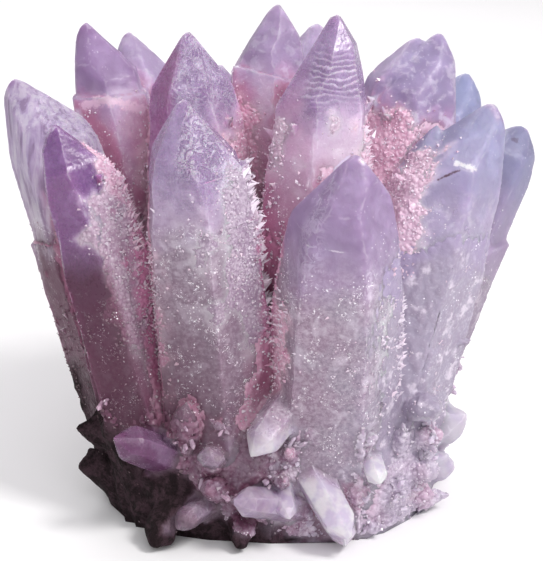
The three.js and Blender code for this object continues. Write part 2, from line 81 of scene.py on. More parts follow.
class Point(NamedTuple):
    """A large point: its axis from foot to crown, its width in millimetres, and its colouring."""

    foot: tuple
    crown: tuple
    width: float
    violet: float  # how strong the violet of its tip is
    tip: float  # how far down the violet reaches, as a share of the length
    blush: float  # how pink its body is
    cool: float = 0  # how blue its upper part is
    soft: float = 0  # how rounded its edges are


POINTS = {
    "frontLeft": Point((-6, -9.6), (-10.9, -17, 64), 12.4, 0.4, 0.26, 0.3),
    "frontRight": Point((8.2, -10.4), (10.2, -21.8, 58), 13.6, 0.5, 0.3, 0.45, 0, 0.5),
    "outerLeft": Point((-13, -9.4), (-29.2, -10, 59), 10.4, 1, 0.44, 0.6),
    "farLeft": Point((-14.6, -3), (-35, 2, 63.4), 12, 0.2, 0.36, 0.8, 0, 0.4),
    "backLeft": Point((-10.5, 1), (-26.5, 12, 69.3), 9.4, 0.65, 0.2, 0.7, 0, 0.6),
    "backLeftTwin": Point((-8, 6), (-20.8, 18.6, 66.6), 8.6, 0.2, 0.26, 0.7, 0, 0.7),
    "middleLeft": Point((-7, -3), (-11.7, 1, 69.6), 11.6, 0.45, 0.22, 0.8),
    "lowBackLeft": Point((-4, 8), (-8.2, 17, 61.8), 7.6, 0.1, 0.2, 0.2, 0, 0.6),
    "topMiddle": Point((-1.6, 2), (0.3, 8, 72.4), 10, 0.35, 0.16, 0.95, 0, 0.3),
    "tallMiddle": Point((4, -6), (7.4, -5.6, 73.2), 12.4, 0.45, 0.22, 0.9),
    "hiddenMiddle": Point((2.5, 10), (7.2, 19.4, 67.6), 8.6, 0.05, 0.2, 0.2, 0, 0.7),
    "rightShoulder": Point((9.4, -2), (22.8, 7, 68.7), 12, 0.4, 0.26, 0.55, 0.3, 0.4),
    "rightShoulderTwin": Point((8, -2), (20, 8, 67.8), 9.4, 0.3, 0.26, 0.5, 0.12, 0.5),
    "behindRight": Point((11.4, 5), (28.8, 16, 60.9), 9.8, 0.2, 0.3, 0.1, 0.95, 0.6),
    "outerRight": Point((10.8, -7.6), (28.8, -4, 61.2), 14, 0.05, 0.36, 0.15, 0.7, 0.4),
    "farRight": Point((11.6, 1), (36.6, 7, 55), 9, 0.1, 0.5, 0, 0.9, 0.8),
    "smallRight": Point((11.5, -4), (23.6, -3, 57), 5.8, 0.15, 0.3, 0.6, 0.5, 0.6),
    "rearFarLeft": Point((-12.4, 6), (-30, 18, 52), 9.4, 0.7, 0.34, 0.4),
    "rearLeft": Point((-9.6, 9), (-22.6, 26, 56), 10.6, 0.85, 0.36, 0.5),
    "rearMiddleLeft": Point((-4.5, 11), (-11.6, 29, 50), 11.6, 0.5, 0.34, 0.4),
    "rearMiddle": Point((2, 12), (1.4, 30.4, 58), 12.2, 0.7, 0.34, 0.6),
    "rearMiddleRight": Point((7, 11), (14.4, 27.6, 52), 10.8, 0.55, 0.34, 0.4),
    "rearRight": Point((11, 8), (26.4, 23.6, 49), 9.8, 0.45, 0.36, 0.2, 0.4),
}
NAMES = list(POINTS)


class Flank(NamedTuple):
    """A side of a large point that druse covers. Azimuths are in degrees about the point's axis."""

    on: str
    azimuth: float
    spread: float  # degrees to each side
    low: float  # share of the length where it starts
    high: float
    cover: float
    pink: float
    grain: float  # its width in millimetres


FLANKS = [
    Flank("frontLeft", -22, 30, 0.47, 0.84, 0.8, 0.02, 0.28),
    Flank("frontLeft", -90, 2, 0.7, 0.74, 1.5, 0, 0.3),
    Flank("frontLeft", -76, 2, 0.56, 0.58, 1.3, 0, 0.3),
    Flank("frontLeft", 196, 14, 0.2, 0.66, 0.7, 0.8, 0.34),
    Flank("frontLeft", 34, 16, 0.2, 0.6, 0.8, 0.9, 0.34),
    Flank("outerLeft", 28, 28, 0.3, 0.92, 1.3, 0.9, 0.46),
    Flank("outerLeft", -6, 24, 0.32, 0.88, 1.3, 0.6, 0.44),
    Flank("outerLeft", -38, 22, 0.38, 0.83, 1.4, 0.2, 0.42),
    Flank("outerLeft", -66, 18, 0.5, 0.76, 1.4, 0.15, 0.4),
    Flank("farLeft", 215, 40, 0.3, 0.5, 0.3, 0.2, 0.36),
    Flank("frontRight", 190, 16, 0.2, 0.6, 0.8, 0.9, 0.34),
    Flank("frontRight", -14, 16, 0.3, 0.64, 0.36, 0, 0.36),
    Flank("tallMiddle", -72, 0, 0.77, 0.78, 1.2, 0.1, 0.3),
    Flank("tallMiddle", -112, 0, 0.71, 0.72, 1.2, 0.1, 0.3),
    Flank("tallMiddle", 206, 4, 0.75, 0.78, 1.3, 0.3, 0.34),
    Flank("tallMiddle", -14, 24, 0.5, 0.78, 0.8, 0.5, 0.42),
    Flank("middleLeft", -20, 30, 0.45, 0.8, 0.7, 0.9, 0.4),
    Flank("rightShoulder", 244, 56, 0.45, 0.8, 1.3, 0.75, 0.46),
    Flank("rightShoulderTwin", 236, 56, 0.5, 0.84, 1.3, 0.8, 0.46),
    Flank("outerRight", 212, 26, 0.5, 0.84, 1, 0.45, 0.44),
    Flank("topMiddle", 205, 44, 0.4, 0.82, 0.8, 0.9, 0.42),
    Flank("backLeft", -30, 40, 0.5, 0.78, 0.4, 0.6, 0.36),
]


class Face(NamedTuple):
    """A face of a large point that looks unlike the rest of it."""

    on: str
    azimuth: float
    spread: float  # degrees to each side
    low: float  # share of the length where it starts
    high: float
    strength: float


MAGENTA_FACES = [
    Face("middleLeft", 205, 38, 0.72, 0.97, 1),
    Face("outerLeft", 225, 50, 0.62, 0.9, 0.3),
    Face("topMiddle", 200, 40, 0.7, 0.84, 0.7),
    Face("tallMiddle", 210, 30, 0.72, 0.9, 0.35),
    Face("backLeft", 300, 40, 0.6, 0.8, 0.4),
]
ETCHED_FACES = [
    Face("frontLeft", -66, 48, 0.85, 1.05, 1),
    Face("frontLeft", -40, 26, 0.8, 0.9, 0.6),
    Face("middleLeft", -60, 60, 0.84, 1.05, 0.5),
    Face("farLeft", -30, 60, 0.75, 1, 0.5),
    Face("frontRight", 228, 14, 0.74, 0.96, 0.45),
]
ROSY_FACES = [
    Face("tallMiddle", 212, 50, 0.35, 0.82, 0.65),
    Face("tallMiddle", -90, 70, 0.35, 0.78, 0.25),
    Face("topMiddle", -110, 100, 0.3, 0.8, 0.4),
    Face("middleLeft", 0, 60, 0.35, 0.82, 0.4),
]
MOTTLED_FACES = [
    Face("topMiddle", -90, 90, 0.84, 1.1, 0.7),
    Face("rightShoulder", -80, 100, 0.76, 1.1, 1),
    Face("middleLeft", -50, 70, 0.84, 1.1, 0.6),
    Face("outerRight", -90, 120, 0.5, 0.8, 0.8),
    Face("backLeftTwin", -60, 120, 0.7, 1.1, 0.6),
]
# Faces darkened with painted shade, partly their own wine-red tone; the far right point is darkened
# against the key lamp's light
PAINTED_SHADE_FACES = [
    Face("outerLeft", -120, 44, 0.1, 0.68, 0.95),
    Face("outerLeft", -60, 40, 0.1, 0.5, 0.85),
    Face("outerLeft", 0, 60, 0.1, 0.46, 0.8),
    Face("farLeft", -60, 110, 0.1, 0.62, 0.85),
    Face("farLeft", -20, 60, 0.1, 0.62, 0.5),
    Face("frontLeft", -100, 90, 0.1, 0.38, 0.52),
    Face("middleLeft", -90, 90, 0.1, 0.5, 0.4),
    Face("farRight", -90, 180, 0.3, 1.2, 0.28),
]
STREAKED_FACES = [
    Face("farLeft", -60, 120, 0.6, 1.1, 1),
]
STEPPED_FACES = [
    Face("tallMiddle", -72, 44, 0.85, 0.93, 0.9),
]


class Scar(NamedTuple):
    """A crack, chip, bright rim or painted highlight along an edge: a line on the crystals, in
    millimetres, and its colour.
    """

    start: tuple
    end: tuple
    width: float
    tint: tuple


SCARS = [
    Scar((22.9, -13.9, 50.6), (25.8, -14.2, 52.1), 0.5, (112, 82, 104)),
    Scar((25.4, -13.7, 53), (27.8, -14, 52.2), 1.1, (246, 242, 250)),
    Scar((12.4, -12.2, 53.6), (13, -12.2, 52.6), 1.5, (62, 50, 72)),
    Scar((11.6, -12.4, 54), (12.6, -12, 53.6), 0.7, (236, 230, 242)),
    Scar((-27.6, 2.8, 57.4), (-24.4, 1.1, 58.6), 2.2, (222, 192, 212)),
    Scar((-24.4, 1.1, 58.6), (-19.2, 2.8, 56.8), 2.2, (222, 192, 212)),
    Scar((4.2, -28.5, 45.6), (8.8, -29.2, 44.8), 0.35, (226, 216, 232)),
    Scar((8.8, -29.2, 44.8), (13, -28.6, 45.2), 0.35, (226, 216, 232)),
    Scar((35, 0.8, 53.4), (35.4, 0.8, 52.4), 1.2, (118, 108, 138)),
    # a painted highlight along an upper edge
    Scar((6.7, -16.4, 51.2), (9.2, -15.1, 53.2), 0.45, (216, 204, 228)),
    Scar((9.2, -15.1, 53.2), (10.9, -14.2, 54.4), 0.45, (216, 204, 228)),
]


class Comb(NamedTuple):
    """A row of teeth along a large point."""

    on: str
    azimuth: float
    spread: float  # degrees to each side
    low: float  # share of the length where it starts
    high: float
    cover: float
    length: float  # millimetres
    pink: float


COMBS = [
    Comb("frontLeft", 2, 14, 0.43, 0.84, 1, 1.5, 0.05),
    Comb("outerLeft", -8, 26, 0.42, 0.84, 0.6, 1, 0.5),
    Comb("frontRight", 0, 12, 0.34, 0.64, 0.8, 1, 0),
    Comb("frontRight", 196, 8, 0.5, 0.64, 0.6, 0.8, 0.1),
    Comb("tallMiddle", 0, 14, 0.55, 0.78, 0.8, 1.1, 0.2),
]


class FootPoint(NamedTuple):
    """A small point of the foot, in millimetres, and how clear, violet and rounded it is."""

    root: tuple
    tip: tuple
    width: float
    clear: float
    violet: float
    soft: float = 0


FOOT_POINTS = [
    FootPoint((3.6, -16.5, 21.5), (-3, -25.6, 15.2), 4.6, 1, 0),
    FootPoint((-13.5, -16, 10.5), (-22, -23, 17.2), 5, 0.6, 1),
    FootPoint((5, -18, 4.6), (-5.6, -26.4, 9.2), 4, 0.8, 0.5),
    FootPoint((4.6, -17.5, 11.5), (11, -27.2, 3.4), 4.2, 1, 0.1),
    FootPoint((13, -15, 13.4), (15, -25, 11), 3, 0.9, 0),
    FootPoint((1, -18, 9), (2.6, -26, 6), 2.6, 0.9, 0.2),
    FootPoint((22, -4, 9.6), (29.4, -7.6, 14.6), 5.6, 0.35, 0, 1),
    FootPoint((21, -6, 5), (27.8, -9, 7), 4.8, 0.3, 0, 0.8),
    FootPoint((9, -17, 4.4), (10.4, -25, 1.6), 3.6, 0.8, 0.2),
    FootPoint((-8, -18, 6), (-13.6, -25.4, 4.4), 3.4, 0.5, 0.4),
    FootPoint((19, -11, 17), (23.4, -19.4, 20), 4.4, 0.4, 0.1),
    FootPoint((-6.4, -17.6, 13.4), (-9.2, -24.8, 15.6), 3.6, 0.55, 0.15),
]


def srgb(red, green, blue):
    """A colour of 0 to 255 as Blender's linear values."""
    shares = np.array([red, green, blue]) / 255
    linear = np.where(shares <= 0.04045, shares / 12.92, ((shares + 0.055) / 1.055) ** 2.4)
    return tuple(float(v) for v in linear)


def colour(name, description, default):
    """A property that holds a colour."""
    return FloatVectorProperty(
        name=name, description=description, default=default, subtype="COLOR", min=0, max=1
    )


def length(name, description, millimetres):
    """A property that holds a length."""
    return FloatProperty(
        name=name, description=description, default=millimetres * MM, min=0, unit="LENGTH", precision=5
    )


class CrystalSettings(bpy.types.PropertyGroup):
    """The large points and the foot that carries them."""

    edge: length("Mesh edge", "Longest edge of the fine mesh", 1.12)
    rounding: FloatProperty(
        name="Rounding", description="How far edges are worn", default=0.4, min=0, max=1,
        subtype="FACTOR",
    )
    swell: length("Swell", "Height of the slow waves of the faces", 0.09)
    frosting: length("Frosting", "Height of the lumps of the frosted lower faces", 0.12)
    foot_lumps: length("Foot lumps", "Height of the lumps of the foot", 0.8)
    violet: colour("Violet", "The deep violet of the tips", srgb(148, 106, 164))
    lilac: colour("Lilac", "The pale lilac of the tips", srgb(198, 181, 213))
    frost: colour("Frost", "The frosted white of the lower points", srgb(141, 125, 143))
    blush: colour("Blush", "The pink-mauve inside the lower points", srgb(142, 107, 132))
    valley: colour("Valley", "The deep pink between the points", srgb(190, 128, 158))
    cool: colour("Cool", "The blue of the tips at the right", srgb(157, 163, 200))
    milk: colour("Milk", "The milky white of the right side", srgb(148, 141, 160))
    magenta: colour("Magenta", "The strong pink of some faces", srgb(176, 104, 164))
    # Painted shade: a wine red, partly the lower points' own tone, that darkens the lower left and the
    # foot's hollows
    shade: colour("Shade", "The wine red of the lower left side", srgb(84, 40, 62))
    # Dark rock of the foot, which also stands as painted shade at the lower left
    matrix: colour("Matrix", "The dark rock of the foot", srgb(34, 24, 27))


class DruseSettings(bpy.types.PropertyGroup):
    """The crust of tiny crystals."""

    grain: length("Grain", "Width of a usual grain", 0.38)
    white: colour("White", "The pale grains", srgb(232, 222, 234))
    pink: colour("Pink", "The pink grains", srgb(238, 196, 216))
    # The colour between pink lumps: partly their own deeper tone, partly painted shade in the hollows
    rose: colour("Rose", "The deep pink between pink lumps", srgb(212, 154, 182))
    dark: colour("Dark", "The crust in the shade of the lower left", srgb(98, 50, 74))
    # Painted shade: the dark of the gaps between the front points, low down
    deep: colour("Deep gap", "The gaps between the front points, low down", srgb(118, 56, 84))
    crimson: colour("Crimson", "The gaps between the front points, high up", srgb(202, 130, 168))
    # Painted glints: the colour of the tiny highlights painted on the bodies and the crusts
    painted_glint: colour("Spark", "The tiny bright facets", srgb(252, 248, 254))
    seed: IntProperty(name="Seed", description="Start of the random numbers", default=7, min=0)


class StageSettings(bpy.types.PropertyGroup):
    """The floor, the light and the camera."""

    floor: colour("Floor", "The pale floor", srgb(244, 243, 244))
    lens: FloatProperty(
        name="Lens", description="Focal length", default=120, min=1, unit="CAMERA"
    )
    distance: length("Distance", "From the camera to the cluster", 275)
    elevation: FloatProperty(
        name="Elevation", description="Height of the camera", default=math.radians(18),
        subtype="ANGLE",
    )


def smooth(low, high, value):
    """Runs from 0 at low to 1 at high, without a kink."""
    share = np.clip((value - low) / (high - low), 0, 1)
    return share * share * (3 - 2 * share)


def turned(azimuths, azimuth):
    """Degrees from each azimuth to another, from 0 to 180."""
    return np.abs((azimuths - azimuth + 180) % 360 - 180)


def unit(vectors):
    """Vectors of length 1."""
    return vectors / np.linalg.norm(vectors, axis=1)[:, None]


def waves(places, size, seed=0):
    """Smooth noise from about -1 to 1 at each place, with lumps of a size in metres."""
    offset = Vector((seed * 7.3, seed * 3.1, seed * 5.7))
    return np.array([noise.noise(Vector(p) / size + offset) for p in places])


def axes():
    """The foot, right, back and up directions and the length of each large point, in metres."""
    feet = np.array([(*p.foot, 0) for p in POINTS.values()]) - BOX_MIDDLE
    crowns = np.array([p.crown for p in POINTS.values()]) - BOX_MIDDLE
    lengths = np.linalg.norm(crowns - feet, axis=1)
    up = (crowns - feet) / lengths[:, None]
    right = unit(np.array([1, 0, 0]) - up * up[:, :1])
    return feet * MM, right, np.cross(up, right), up, lengths * MM


def along_points(places):
    """For each place: its large point, the share of that point's length, the azimuth about it
    and the distance from its axis as a share of its half width."""
    feet, right, back, up, lengths = axes()
    offsets = places[:, None] - feet
    level = np.einsum("npk,pk->np", offsets, up)
    x = np.einsum("npk,pk->np", offsets, right)
    y = np.einsum("npk,pk->np", offsets, back)
    widths = np.array([p.width for p in POINTS.values()]) * MM
    shoulder = lengths - TIP_HEIGHT * widths
    prism = widths / 2 + np.tan(PRISM_TAPER) * (shoulder - level)
    pyramid = widths / 2 * np.clip((lengths - level) / (lengths - shoulder), 0.1, 1)
    half = np.where(level > shoulder, pyramid, prism)
    reach = np.hypot(x, y) / half
    owner = reach.argmin(1)
    rows = np.arange(len(places))
    share = level[rows, owner] / lengths[owner]
    azimuth = np.degrees(np.arctan2(y[rows, owner], x[rows, owner]))
    return owner, share, azimuth, reach[rows, owner]


def vertices_of(mesh):
    """The places and normals of a mesh's vertices."""
    places = np.empty(len(mesh.vertices) * 3)
    normals = np.empty(len(mesh.vertices) * 3)
    mesh.vertices.foreach_get("co", places)
    mesh.vertices.foreach_get("normal", normals)
    return places.reshape(-1, 3), normals.reshape(-1, 3)


def triangles_of(mesh):
    """The three vertices of each triangle of a mesh."""
    corners = np.empty(len(mesh.polygons) * 3, np.int32)
    mesh.polygons.foreach_get("vertices", corners)
    return corners.reshape(-1, 3)


def write_attribute(mesh, name, values):
    """Keeps a number for each vertex under a name."""
    mesh.attributes.new(name, "FLOAT", "POINT").data.foreach_set("value", values.astype(np.float32))


def read_attribute(mesh, name):
    """The numbers that a mesh keeps under a name."""
    values = np.empty(len(mesh.vertices), np.float32)
    mesh.attributes[name].data.foreach_get("value", values)
    return values


def place_piece(context, mesh, material):
    """Sets a mesh on the cluster's body as a piece."""
    mesh.materials.append(material)
    piece = bpy.data.objects.new(mesh.name, mesh)
    context.scene.collection.objects.link(piece)
    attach(piece, "root")
    return piece


MERGE = 1e-7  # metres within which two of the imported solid's vertices are one
FLAT = math.radians(0.3)
REFINING = (12, 6, 3, 1.8)  # mm: the longest edge after each step, before the last


def split_long_edges(bm, longest):
    """Halves every edge over a length, and turns the flat edges so that triangles are well shaped."""
    long = [
        e for e in bm.edges
        if e.calc_length() > longest and e.verts[0].co.z + e.verts[1].co.z > MERGE
    ]
    bmesh.ops.subdivide_edges(bm, edges=long, cuts=1)
    many = [f for f in bm.faces if len(f.verts) > 3]
    bmesh.ops.triangulate(bm, faces=many, quad_method="SHORT_EDGE", ngon_method="BEAUTY")
    flat = [e for e in bm.edges if e.calc_face_angle(math.pi) < FLAT]
    bmesh.ops.beautify_fill(bm, faces=bm.faces, edges=flat, method="ANGLE")


def fine_copy(source, longest):
    """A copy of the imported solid's mesh in small triangles, for relief."""
    bm = bmesh.new()
    bm.from_mesh(source)
    bmesh.ops.remove_doubles(bm, verts=bm.verts, dist=MERGE)
    bmesh.ops.dissolve_limit(bm, angle_limit=FLAT, verts=bm.verts, edges=bm.edges)
    bmesh.ops.triangulate(bm, faces=bm.faces, ngon_method="BEAUTY")
    for step in (*(s * MM for s in REFINING), longest):
        split_long_edges(bm, step)
    return bm


SHARP = math.radians(20)  # the least bend of an edge that is worn


def wear_edges(bm, shares):
    """Draws the vertices of sharp edges in towards their neighbours, each by its share, and tells
    which of them are on an edge that stands out."""
    bent = [e for e in bm.edges if e.calc_face_angle(0) > SHARP]
    sharp = {v for e in bent for v in e.verts}
    out = {v for e in bent if e.calc_face_angle_signed(0) > 0 for v in e.verts}
    drawn = []
    for v in sharp:
        if v.co.z < MERGE:
            continue
        around = [e.other_vert(v) for e in v.link_edges]
        plain = [u for u in around if u not in sharp] or around
        middle = sum((u.co for u in plain), Vector()) / len(plain)
        drawn.append((v, v.co.lerp(middle, shares[v.index])))
    for v, place in drawn:
        v.co = place
    for e in bent:
        e.smooth = False
    return np.array([float(v in out) for v in bm.verts])


BLUNTING_ROUNDS = 4
BLUNTING_PULL = 0.6  # how far a vertex of share 1 goes to the middle of its neighbours
BLUNTED_FROM = 0.1  # the least share that moves
SMOOTH_FROM = 0.35  # the least share whose edges are shaded smooth


def blunt(bm, shares):
    """Rounds off what is soft, each vertex by its share."""
    moving = [v for v in bm.verts if shares[v.index] > BLUNTED_FROM and v.co.z > MERGE]
    for _ in range(BLUNTING_ROUNDS):
        places = []
        for v in moving:
            around = [e.other_vert(v).co for e in v.link_edges]
            middle = sum(around, Vector()) / len(around)
            places.append(v.co.lerp(middle, BLUNTING_PULL * shares[v.index]))
        for v, place in zip(moving, places):
            v.co = place
    for v in moving:
        if shares[v.index] > SMOOTH_FROM:
            for e in v.link_edges:
                e.smooth = True


SKY_RAYS = 14
SKY_REACH = 9 * MM  # how far a ray looks for what stands in its way
SKY_START = 0.25 * MM  # how far above the surface it starts


def sky_directions():
    """Directions spread over the half sphere around +Z, closer together towards the middle."""
    k = np.arange(SKY_RAYS) + 0.5
    radius = np.sqrt(k / SKY_RAYS) * 0.97
    turn = k * math.pi * (3 - math.sqrt(5))
    return np.stack([radius * np.cos(turn), radius * np.sin(turn), np.sqrt(1 - radius**2)], 1)


def bases(normals):
    """Three perpendicular directions for each normal, the third along it."""
    hint = np.where(np.abs(normals[:, 2:]) < 0.8, [[0.0, 0, 1]], [[1.0, 0, 0]])
    first = unit(np.cross(hint, normals))
    return np.stack([first, np.cross(normals, first), normals], 1)


def shut_in(tree, places, normals):
    """How far each place is shut in by what stands around it, from 0 to 1."""
    rays = np.einsum("rk,nkj->nrj", sky_directions(), bases(normals))
    starts = places + normals * SKY_START
    found = np.zeros(len(places))
    for i, start in enumerate(starts):
        origin = Vector(start)
        for ray in rays[i]:
            distance = tree.ray_cast(origin, Vector(ray), SKY_REACH)[3]
            if distance is not None:
                found[i] += 1 - 0.5 * distance / SKY_REACH
    return found / SKY_RAYS


# How high the dark rock, also painted shade at the lower left, reaches up the foot, in millimetres, at
# bearings in degrees
ROCK_AND_SHADE_BEARINGS = (0, 45, 90, 135, 170, 200, 225, 250, 280, 320, 360)
ROCK_AND_SHADE_HEIGHTS = (0, 2, 6, 9, 18, 21, 14, 6, 1, -1, 0)
FOOT_TOP = 21 * MM


def dark_rock_and_shade_share(places, reach):
    """1 on the dark rock of the foot, which is also painted shade at the lower left, 0 on crystal."""
    bearing = np.degrees(np.arctan2(places[:, 1], places[:, 0])) % 360
    height = np.interp(bearing, ROCK_AND_SHADE_BEARINGS, ROCK_AND_SHADE_HEIGHTS) * MM
    ragged = 2.5 * MM * waves(places, 4 * MM, 3)
    return smooth(2 * MM, -2 * MM, places[:, 2] - height + ragged) * smooth(0.9, 1.15, reach)


FACE_FADE = 8  # degrees to each side of a face's edge


def face_share(faces, owner, share, azimuth, ragged, soft=0.03):
    """How much each place belongs to one of some faces. Their ends fade over soft of the length."""
    found = np.zeros(len(owner))
    for face in faces:
        off = turned(azimuth, face.azimuth)
        side = smooth(face.spread + FACE_FADE, face.spread - FACE_FADE, off)
        rise = smooth(face.low - soft, face.low + soft, share + ragged)
        rise *= smooth(face.high + soft, face.high - soft, share + ragged)
        found = np.maximum(found, face.strength * side * rise * (owner == NAMES.index(face.on)))
    return found


BARE_GRAIN = 0.4  # mm, off the flanks
FLANK_RAGGED = 16  # degrees by which a flank's side wanders
FLANK_FADE = (22, -12)  # degrees past its spread where a flank is bare, and where it is covered


def flank_cover(places, owner, share, azimuth):
    """Cover, pinkness and grain of the druse on the sides of the large points."""
    cover = np.zeros(len(places))
    pink = np.zeros(len(places))
    grain = np.full(len(places), BARE_GRAIN)
    patchy = waves(places, 3.5 * MM, 11) + 0.6 * waves(places, 1.4 * MM, 12)
    bare, full = FLANK_FADE
    for flank in FLANKS:
        off = turned(azimuth, flank.azimuth) + FLANK_RAGGED * patchy
        side = smooth(flank.spread + bare, flank.spread + full, off)
        rise = smooth(flank.low - 0.1, flank.low + 0.05, share)
        rise *= smooth(flank.high + 0.06, flank.high - 0.08, share + 0.06 * patchy)
        here = flank.cover * side * rise * (owner == NAMES.index(flank.on))
        pink = np.where(here > cover, flank.pink, pink)
        grain = np.where(here > cover, flank.grain, grain)
        cover = np.maximum(cover, here)
    return cover, pink, grain


def foot_points(places):
    """How clear, violet and rounded each place is by belonging to a small point of the foot."""
    clear = np.zeros(len(places))
    violet = np.zeros(len(places))
    soft = np.zeros(len(places))
    for point in FOOT_POINTS:
        root, tip = (np.array(p) - BOX_MIDDLE for p in (point.root, point.tip))
        span = (tip - root) * MM
        along = (places - root * MM) @ span / (span @ span)
        aside = np.linalg.norm(places - root * MM - along[:, None] * span, axis=1)
        here = smooth(0.8, 0.62, aside / (point.width * MM)) * smooth(0.1, 0.3, along) * (along < 1.2)
        clear = np.maximum(clear, here * point.clear)
        violet = np.maximum(violet, here * point.violet)
        soft = np.maximum(soft, here * point.soft)
    return clear, violet, soft


# The looks of single faces: which faces, how ragged their ends are and how softly they fade
FACE_LOOKS = {
    "magenta": (MAGENTA_FACES, 0.5, 0.03),
    "etched": (ETCHED_FACES, 0.4, 0.03),
    "rosy": (ROSY_FACES, 1, 0.06),
    "mottled": (MOTTLED_FACES, 0.4, 0.03),
    "stepped": (STEPPED_FACES, 0.3, 0.03),
    "streaked": (STREAKED_FACES, 1, 0.03),
    # painted shade on single faces
    "painted_shade_faces": (PAINTED_SHADE_FACES, 1, 0.12),
}


def valley_share(shut, share, foot, clear, x, z):
    """How deep each place lies between the points. The far right and the low right have none."""
    valley = smooth(0.16, 0.52, shut) * (1 - clear) * smooth(0.96, 0.82, share) * (1 - 0.7 * foot)
    valley *= 1 - 0.85 * smooth(21 * MM, 28 * MM, x)
    return valley * (1 - 0.8 * smooth(11 * MM, 15 * MM, x) * smooth(43 * MM, 36 * MM, z))


def crimson_share(shut, foot, clear, x, y, z):
    """1 in the narrow gaps between the front points."""
    gap = smooth(0.3, 0.55, shut) * smooth(54 * MM, 42 * MM, z) * smooth(19 * MM, 23 * MM, z)
    gap *= (1 - foot) * (1 - clear)
    return gap * smooth(4.5 * MM, 1.5 * MM, x) * smooth(-6 * MM, -10 * MM, y)


def shade_share(painted_shade_faces, shut, foot, clear, x, z):
    """How much painted shade each place takes, partly a wine-red tone of its own: low down, to the left,
    on the shaded faces and deep in the foot.
    """
    # Painted shade: low down to the left, deep in the foot and most in its hollows, and on the outer left
    low = smooth(54 * MM, 14 * MM, z) * smooth(12 * MM, -20 * MM, x)
    deep = foot * smooth(12 * MM, -5 * MM, x) * (0.25 + 0.75 * smooth(0.25, 0.5, shut))
    outer = smooth(46 * MM, 26 * MM, z) * smooth(-20 * MM, -27 * MM, x)
    return np.maximum(low, painted_shade_faces + deep + outer).clip(0, 1) * (1 - 0.6 * clear)


def crystal_attributes(places, normals, tree):
    """The numbers that the crystal finish reads, for each place."""
    owner, share, azimuth, reach = along_points(places)
    own = {
        k: np.array([getattr(p, k) for p in POINTS.values()])[owner]
        for k in ("violet", "tip", "blush", "cool", "soft")
    }
    shut = shut_in(tree, places, normals)
    clear, foot_violet, foot_soft = foot_points(places)
    foot = smooth(FOOT_TOP, FOOT_TOP - 5 * MM, places[:, 2]) * smooth(1, 1.3, reach)
    ragged = 0.05 * waves(places, 5 * MM, 1) + 0.03 * waves(places, 1.6 * MM, 2)
    tip = smooth(-0.25, 0.45, (share - 1 + own["tip"] + ragged) / own["tip"])
    x, y, z = places.T
    crust, pink, grain = flank_cover(places, owner, share, azimuth)
    looks = {
        name: face_share(faces, owner, share, azimuth, ragged * wander, soft)
        for name, (faces, wander, soft) in FACE_LOOKS.items()
    }
    return {
        "tip": tip * (1 - foot),
        "violet": np.maximum(own["violet"] * (1 - foot), foot_violet),
        "blush": own["blush"],
        "soft": np.maximum(own["soft"] * smooth(0.5, 0.6, share) * (1 - foot), foot_soft),
        "valley": valley_share(shut, share, foot, clear, x, z),
        "crimson": crimson_share(shut, foot, clear, x, y, z),
        "cool": own["cool"] * smooth(0.64, 0.96, share + ragged) * (1 - foot),
        "milk": smooth(4 * MM, 20 * MM, x) * smooth(62 * MM, 44 * MM, z + ragged * 60 * MM),
        "crust": crust * (1 - foot) * (1 - clear),
        "pink": pink,
        "grain": grain,
        "foot": foot,
        "clear": clear * foot,
        "matrix": dark_rock_and_shade_share(places, reach) * (1 - clear),
        "shade": shade_share(looks["painted_shade_faces"], shut, foot, clear, x, z),
        "share": share,
        "azimuth": azimuth,
        "owner": owner,
        **looks,
    }


STANDING = 0.3 * MM  # below this height the foot stays as flat as it is


def relief(places, found, settings):
    """How far each place of the crystal surface stands out or in."""
    tip, foot = found["tip"], found["foot"]
    slow = settings.swell * waves(places, 7 * MM, 4)
    frosted = settings.frosting * (waves(places, 2.2 * MM, 5) + 0.5 * waves(places, 1.1 * MM, 6))
    lumpy = 0.7 * waves(places, 4.5 * MM, 7) + 0.4 * waves(places, 1.8 * MM, 8)
    body = frosted * (1 - tip) * (1 - foot)
    return slow * (1 - foot) + body + settings.foot_lumps * lumpy * foot * (1 - found["clear"])


class CLUSTER_OT_crystals(bpy.types.Operator):
    """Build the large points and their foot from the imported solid"""

    bl_idname = "cluster.crystals"
    bl_label = "Crystals"

    def execute(self, context):
        settings = context.scene.cluster_crystals
        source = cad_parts[SOLID].data
        tree = BVHTree.FromPolygons(
            [v.co for v in source.vertices], [p.vertices for p in source.polygons]
        )
        bm = fine_copy(source, settings.edge)
        bm.normal_update()
        bm.verts.index_update()
        found = crystal_attributes(
            np.array([v.co for v in bm.verts]), np.array([v.normal for v in bm.verts]), tree
        )
        worn = wear_edges(bm, settings.rounding * (1 - 0.6 * found["tip"]))
        found["edge"] = worn * (1 - found["matrix"])
        blunt(bm, np.maximum(found["matrix"], found["soft"]))
        mesh = bpy.data.meshes.new("crystals")
        bm.to_mesh(mesh)
        bm.free()
        places, normals = vertices_of(mesh)
        moved = places + normals * relief(places, found, settings)[:, None]
        standing = places[:, 2] < STANDING
        moved[standing] = places[standing]
        moved[:, 2] = np.maximum(moved[:, 2], 0)
        mesh.vertices.foreach_set("co", moved.ravel())
        for name, values in found.items():
            write_attribute(mesh, name, values)
        mesh.polygons.foreach_set("use_smooth", np.ones(len(mesh.polygons), bool))
        mesh.update()
        piece = place_piece(context, mesh, crystal_finish(settings))
        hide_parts(SOLID)
        return {"FINISHED"}


# size of the painted glints
PAINTED_GLINT_SIZE = 0.4 * MM
TREADS_A_LENGTH = 85  # growth steps in the length of a large point
TREAD_WAVES = 5  # how many steps a growth step wanders up and down
GAP_DEEP = 16 * MM  # heights where the gaps' painted shade is deepest and where it is lightest
GAP_LIGHT = 42 * MM


